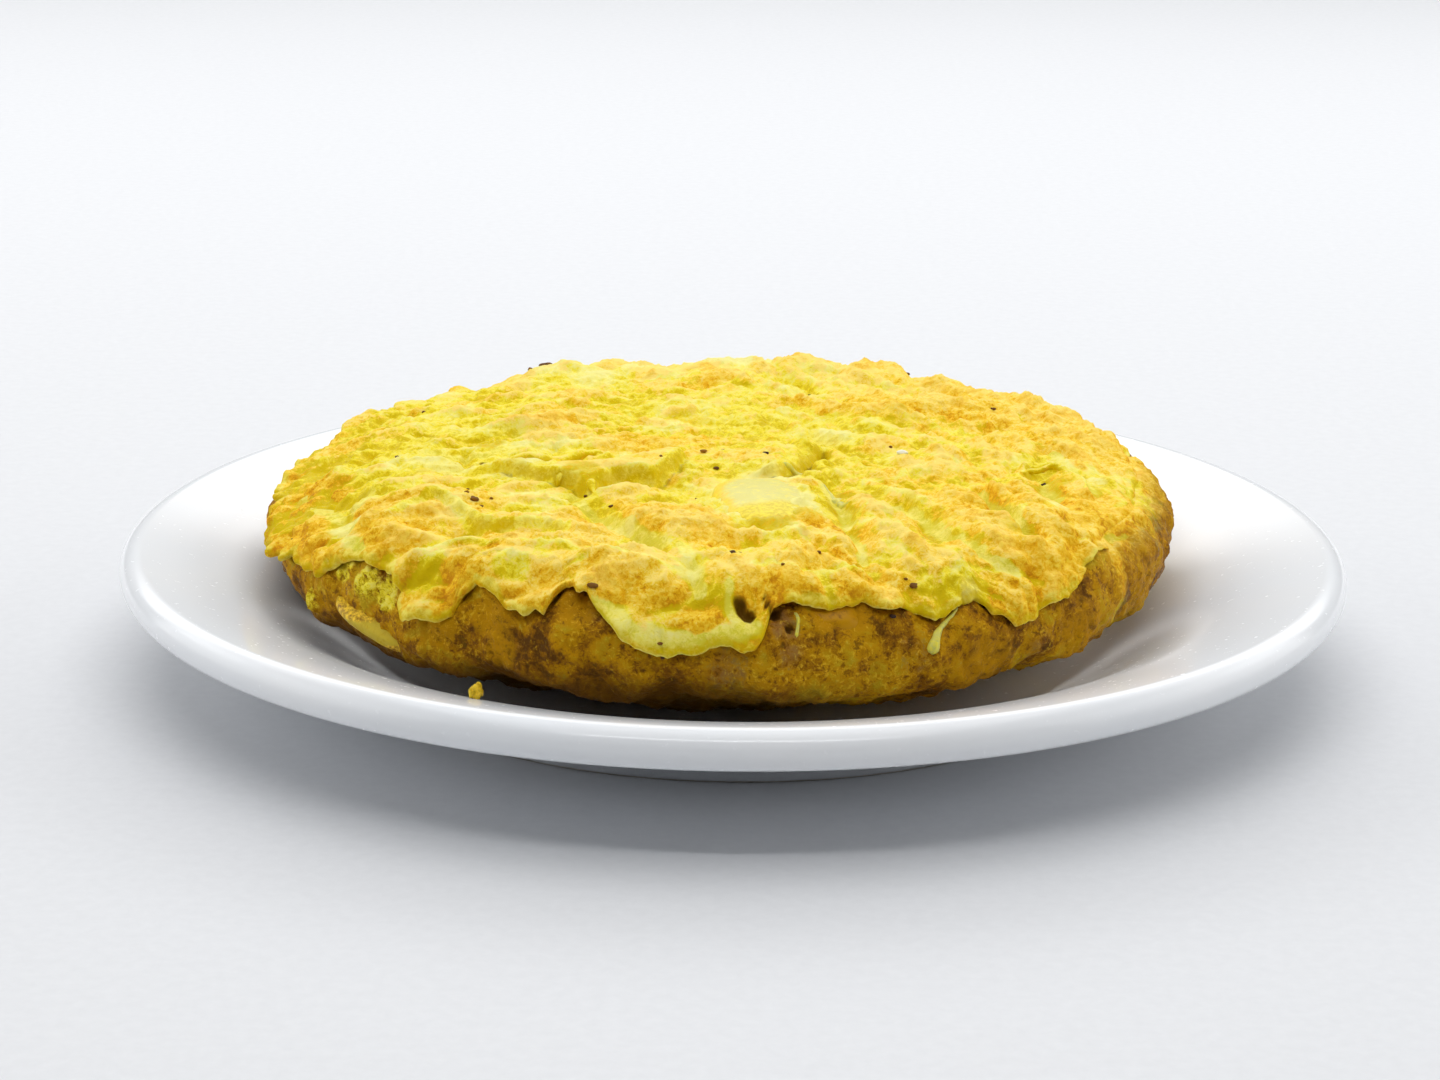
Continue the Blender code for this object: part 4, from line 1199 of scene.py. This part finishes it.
# Operators
class OMELETTE_OT_camera(Operator):
    """Set the camera at the photograph's angle"""
    bl_idname = "omelette.camera"
    bl_label = "Camera"

    def execute(self, context):
        eye = Vector((0.0, -math.cos(CAMERA_ELEVATION), math.sin(CAMERA_ELEVATION))) * CAMERA_DISTANCE
        look = (Vector(CAMERA_TARGET) - eye).to_track_quat("-Z", "Y")
        data = bpy.data.cameras.new("photo_camera")
        data.sensor_fit = "HORIZONTAL"
        data.sensor_width = SENSOR_WIDTH
        data.lens = FOCAL_PIXELS * SENSOR_WIDTH / PHOTO_WIDTH
        data.clip_start = 0.01
        camera = bpy.data.objects.new("photo_camera", data)
        camera.location = eye * MM
        camera.rotation_mode = "QUATERNION"
        camera.rotation_quaternion = look @ Quaternion((0.0, 0.0, 1.0), CAMERA_ROLL)
        context.scene.collection.objects.link(camera)
        context.scene.camera = camera
        return {"FINISHED"}


def area_light(name, place, aim, size, power):
    data = bpy.data.lights.new(name, "AREA")
    data.shape = "RECTANGLE"
    data.size, data.size_y = size
    data.energy = power
    light = bpy.data.objects.new(name, data)
    light.location = place
    light.rotation_mode = "QUATERNION"
    light.rotation_quaternion = (Vector(aim) - Vector(place)).to_track_quat("-Z", "Y")
    light.visible_camera = False
    bpy.context.scene.collection.objects.link(light)


class OMELETTE_OT_stage(Operator):
    """Lay the pale floor, and hang the soft studio lights"""
    bl_idname = "omelette.stage"
    bl_label = "Stage and lights"

    def execute(self, context):
        form = bmesh.new()
        bmesh.ops.create_grid(form, x_segments=8, y_segments=8, size=FLOOR_HALF_SIZE)
        mesh = bpy.data.meshes.new("floor")
        form.to_mesh(mesh)
        form.free()
        material, start = new_material("paper")
        fibre = noise(start, place_of(start), 3.0, 3.0, 0.6)
        feeds = {"Base Color": fibre.ramp(*zip((0.3, 0.7), PAPER_COLOURS)),
                 "Roughness": 0.75 + (fibre - 0.5) * 0.2}
        mesh.materials.append(finish_material(material, feeds, {"Specular IOR Level": 0.25}))
        floor = bpy.data.objects.new("floor", mesh)
        context.scene.collection.objects.link(floor)

        studio = context.scene.studio_light
        for name, power, place, aim, size in LIGHTS:
            area_light(name, place, aim, size, getattr(studio, power))
        world = bpy.data.worlds.new("studio")
        world.use_nodes = True
        air = Wire(world.node_tree)
        heading = air.add("ShaderNodeSeparateXYZ", {}, {0: air.add("ShaderNodeTexCoord", {}, {}, 0)}, 1)
        shade = heading.rise(-0.7, 0.2) * studio.room
        background = world.node_tree.nodes["Background"]
        world.node_tree.links.new(shade.socket, background.inputs["Strength"])
        background.inputs["Color"].default_value = rgba(ROOM_COLOUR)
        context.scene.world = world
        context.scene.view_settings.view_transform = "Standard"
        return {"FINISHED"}


class OMELETTE_OT_plate(Operator):
    """Turn the plate's section, with its rim bead and foot, finely enough for clean gloss"""
    bl_idname = "omelette.plate"
    bl_label = "Plate"

    def execute(self, context):
        wall = RIM_INNER_RADIUS - FLOOR_RADIUS
        rise = RIM_INNER_HEIGHT - FLOOR_HEIGHT
        part = np.linspace(0.0, 1.0, 25)
        wall_r = FLOOR_RADIUS + wall * part
        wall_z = FLOOR_HEIGHT + rise * part ** 2 * (3 - 2 * part) - RIM_SLOPE * wall * part ** 2 * (1 - part)
        turn = np.radians(np.linspace(100.0, -100.0, 25))
        bead_r = PLATE_RADIUS - BEAD_RADIUS + BEAD_RADIUS * np.cos(turn)
        bead_z = BEAD_HEIGHT + BEAD_RADIUS * np.sin(turn)
        inner = FOOT_RADIUS - FOOT_WIDTH
        foot_r, foot_z = zip(
            (FOOT_RADIUS + 1.2, FOOT_ROOT_HEIGHT), (FOOT_RADIUS + 0.1, 0.7), (FOOT_RADIUS - 0.6, 0.0),
            (inner + 0.6, 0.0), (inner - 0.1, 0.7), (inner - 1.0, RECESS_HEIGHT), (40.0, RECESS_HEIGHT))
        radii = np.concatenate([[26.0, 52.0], wall_r, bead_r, wall_r[:6:-1], foot_r])
        heights = np.concatenate([[FLOOR_HEIGHT] * 2, wall_z, bead_z, wall_z[:6:-1] - WALL_THICKNESS, foot_z])
        steps = int(context.scene.plate_finish.steps * FINE)
        turn = np.linspace(0.0, 2 * math.pi, steps, endpoint=False)
        points = np.stack([
            radii[:, None] * np.cos(turn), radii[:, None] * np.sin(turn),
            np.repeat(heights[:, None], steps, axis=1)], axis=-1).reshape(-1, 3)
        poles = np.array([[0.0, 0.0, FLOOR_HEIGHT], [0.0, 0.0, RECESS_HEIGHT]])
        count = len(points)
        points = np.concatenate([points, poles])
        faces = [band_faces(0, steps, len(radii) - 1), fan_faces(0, steps, count)[:, ::-1],
                 fan_faces(count - steps, steps, count + 1)]
        write_piece("dinner_plate", points, faces, made_once("glaze", glaze_material),
                    replaces=("plate",))
        return {"FINISHED"}


class OMELETTE_OT_top_skin(Operator):
    """Lay the toasted top skin, with its folds, tears and hanging lobed lip"""
    bl_idname = "omelette.top_skin"
    bl_label = "Top skin"

    def execute(self, context):
        sizes = context.scene.omelette_sizes
        rings = int(sizes.skin_rings * FINE)
        ring = np.concatenate([[0], *(np.full(6 * k, k) for k in range(1, rings + 1))])
        order = np.concatenate([[0], *(np.arange(6 * k) for k in range(1, rings + 1))])
        angle = 360.0 * order / np.maximum(6 * ring, 1) - 180.0
        lip = lip_line(angle, sizes.raggedness * (1.0 - bareness(angle)))
        even = LIP_DISTANCE * ring / rings
        follow = smooth((even - SKIN_STILL_RADIUS) / (LIP_DISTANCE - SKIN_STILL_RADIUS))
        distance = even + (lip - LIP_DISTANCE) * follow
        skin = Surface(distance, angle, lip)
        outer = skin.raised(skin.skin_lift())

        around = 6 * rings
        edge = np.arange(ring_start(rings), ring_start(rings) + around)
        thickness = np.maximum(skin_thickness(angle[edge]) * (1.0 + 0.3 * lumps(skin.plain[edge], 4.0)), 0.15)
        normal = np.column_stack([skin.across[edge] * skin.out[edge][:, None], skin.up[edge]])
        ahead = np.column_stack([skin.across[edge] * skin.up[edge][:, None], -skin.out[edge]])
        rows = [outer]
        for turn in np.radians(range(30, 181, 30)):
            inward = (math.cos(turn) - 1.0) * normal + 1.1 * math.sin(turn) * ahead
            rows.append(outer[edge] + thickness[:, None] / 2 * inward)
        base = outer[edge] - thickness[:, None] * normal
        for back, sink in LIP_BACK_ROWS:
            rows.append(base - back * ahead - sink * normal)
        bands = len(rows) - 1
        rows.append(np.array([[OMELETTE_X, 0.0, SKIN_TIP_HEIGHT]]))
        points = np.concatenate(rows)
        tip = len(points) - 1
        faces = [disc_faces(rings), band_faces(edge[0], around, bands), fan_faces(tip - around, around, tip)]

        def carried(values):
            """The outer face's values, repeated over the lip's rows and the hidden tip."""
            return np.concatenate([values, np.tile(values[edge], bands), values[:1]])

        hanging = (1.0 - skin.bare) * np.exp(-((lip - distance) / LIP_MARK_WIDTH) ** 2)
        marks = {name: carried(values) for name, values in skin.marks(skin.browning, hanging).items()}
        write_piece("top_skin", points, faces, made_once("cooked_egg", egg_material),
                    marks, ("omelette",))
        return {"FINISHED"}


class OMELETTE_OT_side_crust(Operator):
    """Build the fried side, from under the skin's lip down to the base"""
    bl_idname = "omelette.side_crust"
    bl_label = "Side crust"

    def execute(self, context):
        sizes = context.scene.omelette_sizes
        around = int(sizes.side_points * FINE)
        rings = int(sizes.side_rings * FINE)
        angle = np.tile(np.linspace(-180.0, 180.0, around, endpoint=False), rings)
        lip = lip_line(angle, sizes.raggedness * (1.0 - bareness(angle)))
        part = np.repeat(np.linspace(0.0, 1.0, rings), around)
        distance = lip - CRUST_OVERLAP + part * (BASE_EDGE_DISTANCE - lip + CRUST_OVERLAP)
        crust = Surface(distance, angle, lip)
        points = crust.raised(crust.crust_lift())
        tips = [[OMELETTE_X, 0.0, CRUST_TIP_HEIGHT], [OMELETTE_X, 0.0, BASE_HEIGHT]]
        points = np.concatenate([points, tips])
        tip = len(points) - 2
        faces = [band_faces(0, around, rings - 1), fan_faces(0, around, tip)[:, ::-1],
                 fan_faces(tip - around, around, tip + 1)]

        def carried(values):
            return np.concatenate([values, values[:2]])

        side = np.maximum(1.0 - crust.bare, crust.browning)
        # painted shade: the side is darkened low down, near the plate, fading towards the right
        low = LOW_SHADE * smooth((distance - LOW_FROM) / LOW_FADE)
        low *= smooth((LOW_RIGHT_END - crust.flat[:, 0]) / LOW_RIGHT_FADE)
        crust.hollow = np.maximum(crust.hollow, low * (1.0 - crust.bare))
        marks = {name: carried(values) for name, values in crust.marks(side).items()}
        write_piece("side_crust", points, faces, made_once("cooked_egg", egg_material),
                    marks, ("omelette",))
        return {"FINISHED"}


class OMELETTE_OT_potatoes(Operator):
    """Set the potato slices that show into the skin and the side"""
    bl_idname = "omelette.potatoes"
    bl_label = "Potato slices"

    def execute(self, context):
        for name, (angle, reach, height, half_sizes, tilt, finish, browning, rounding) in POTATOES.items():
            form = bmesh.new()
            bmesh.ops.create_uvsphere(form, u_segments=int(96 * FINE), v_segments=int(56 * FINE), radius=1.0)
            points = np.array([vertex.co for vertex in form.verts])
            faces = [np.array([[corner.index for corner in face.verts]]) for face in form.faces]
            form.free()
            squared = np.sign(points) * np.abs(points) ** rounding
            bulge = 1.0 + 0.07 * lumps(points + reach, 0.9)[:, None]
            local = squared * bulge * np.array(half_sizes)
            local *= 1.0 + 0.02 * lumps(local + reach, 4.0)[:, None] + 0.008 * lumps(local, 1.6)[:, None]
            if name == "potato_left":
                local[:, 2] *= 1.0 - SLIVER_THINNING * (local[:, 1] / half_sizes[1]) ** 2
                local[:, 2] += SLIVER_SLOPE * local[:, 1]
            lean = math.radians(tilt)
            outward = local[:, 0] * math.cos(lean) + local[:, 2] * math.sin(lean) + reach
            up = local[:, 2] * math.cos(lean) - local[:, 0] * math.sin(lean) + height
            turn = math.radians(angle)
            placed = np.column_stack([
                outward * math.cos(turn) - local[:, 1] * math.sin(turn) + OMELETTE_X,
                outward * math.sin(turn) + local[:, 1] * math.cos(turn), up])
            across = local / np.array(half_sizes)
            on_top = name == "potato_top"
            border = np.hypot(across[:, 1], across[:, 0] if on_top else across[:, 2])
            marks = {"toast": browning * smooth((border - 0.45) / 0.5)}
            if on_top:
                marks["yolk"] = smooth((across[:, 0] - 0.15) / 0.4)
            write_piece(name + "_slice", placed, faces, made_once(finish, potato_material),
                        marks, (name,))
        return {"FINISHED"}


class OMELETTE_OT_rolls(Operator):
    """Lay the rolled edges, drips and strands of egg on the surface"""
    bl_idname = "omelette.rolls"
    bl_label = "Rolls and drips"

    def execute(self, context):
        parts = [roll(path, radii, standing) for path, radii, standing, _ in ROLLS]
        points, faces, counts = gathered(parts)
        toast = np.repeat([toast for *_, toast in ROLLS], counts)
        # the rolls have no side, rim, hollow shade, amber, moist or lace marks
        plain = ("side", "rim", "hollow", "amber", "moist", "lace")
        marks = {name: np.zeros(len(points)) for name in plain}
        marks["toast"] = toast + 0.25 * lumps(points, 4.0)
        marks["wet"] = 0.5 + 0.4 * lumps(points, 9.0) - toast
        marks["pale"] = np.full(len(points), 0.2)
        # one painted-shade height for all the rolls
        marks["relief"] = np.full(len(points), 0.6)
        write_piece("egg_rolls", points, faces, made_once("cooked_egg", egg_material), marks)
        return {"FINISHED"}


class OMELETTE_OT_onions(Operator):
    """Lay the strips of softened onion that show through the skin"""
    bl_idname = "omelette.onions"
    bl_label = "Onion strips"

    def execute(self, context):
        points, faces, _ = gathered([roll(*strip) for strip in ONIONS])
        write_piece("onion_strips", points, faces, made_once("onion", onion_material))
        return {"FINISHED"}


class OMELETTE_OT_bits(Operator):
    """Scatter the scorched bits on the omelette and the crumb on the plate"""
    bl_idname = "omelette.bits"
    bl_label = "Bits and crumb"

    def execute(self, context):
        flat = np.array([place for place, *_ in BITS], float)
        middles, _ = on_surface(flat, 0.1)
        draw = np.random.default_rng(3)
        parts = [
            pebble(middle, (0.5 * length, 0.5 * length / slim, 0.42 * length / slim), draw.uniform(-0.6, 0.6))
            for middle, (_, length, slim, _) in zip(middles, BITS)
        ]
        points, faces, counts = gathered(parts)
        marks = {"tone": np.repeat([tone for *_, tone in BITS], counts)}
        finish = made_once("scorched_bits", bits_material)
        write_piece("scorched_bits", points, faces, finish, marks)

        angle, reach, sizes = CRUMB
        turn = math.radians(angle)
        height = RIM_HEIGHT_AT_CRUMB + 0.85 * sizes[2]
        middle = np.array([reach * math.cos(turn), reach * math.sin(turn), height])
        points, faces = pebble(middle, sizes, 0.9, 0.5)
        marks = {"toast": np.full(len(points), 0.9)}
        finish = made_once("amber_potato", potato_material)
        write_piece("crumb", points, faces, finish, marks)
        return {"FINISHED"}


class OMELETTE_PT_pieces(Panel):
    """Settings and operators of the omelette"""
    bl_label = "Omelette on a plate"
    bl_idname = "OMELETTE_PT_pieces"
    bl_space_type = "VIEW_3D"
    bl_region_type = "UI"
    bl_category = "Omelette"

    def draw(self, context):
        for name, kind in SETTINGS.items():
            for setting in kind.__annotations__:
                self.layout.prop(getattr(context.scene, name), setting)
        for operator in OPERATORS:
            self.layout.operator(operator.bl_idname)


SETTINGS = {
    "omelette_colours": OmeletteColours,
    "omelette_sizes": OmeletteSizes,
    "plate_finish": PlateFinish,
    "studio_light": StudioLight,
}
OPERATORS = (
    OMELETTE_OT_camera,
    OMELETTE_OT_stage,
    OMELETTE_OT_plate,
    OMELETTE_OT_top_skin,
    OMELETTE_OT_side_crust,
    OMELETTE_OT_potatoes,
    OMELETTE_OT_rolls,
    OMELETTE_OT_onions,
    OMELETTE_OT_bits,
)


def register():
    for kind in (*SETTINGS.values(), *OPERATORS, OMELETTE_PT_pieces):
        bpy.utils.register_class(kind)
    for name, kind in SETTINGS.items():
        setattr(bpy.types.Scene, name, PointerProperty(type=kind))


def unregister():
    for name in SETTINGS:
        delattr(bpy.types.Scene, name)
    for kind in (OMELETTE_PT_pieces, *OPERATORS[::-1], *SETTINGS.values()):
        bpy.utils.unregister_class(kind)


def main():
    register()
    bpy.ops.omelette.camera()
    bpy.ops.omelette.stage()
    bpy.ops.omelette.plate()
    bpy.ops.omelette.top_skin()
    bpy.ops.omelette.side_crust()
    bpy.ops.omelette.potatoes()
    bpy.ops.omelette.rolls()
    bpy.ops.omelette.onions()
    bpy.ops.omelette.bits()


if __name__ == "__main__":
    main()
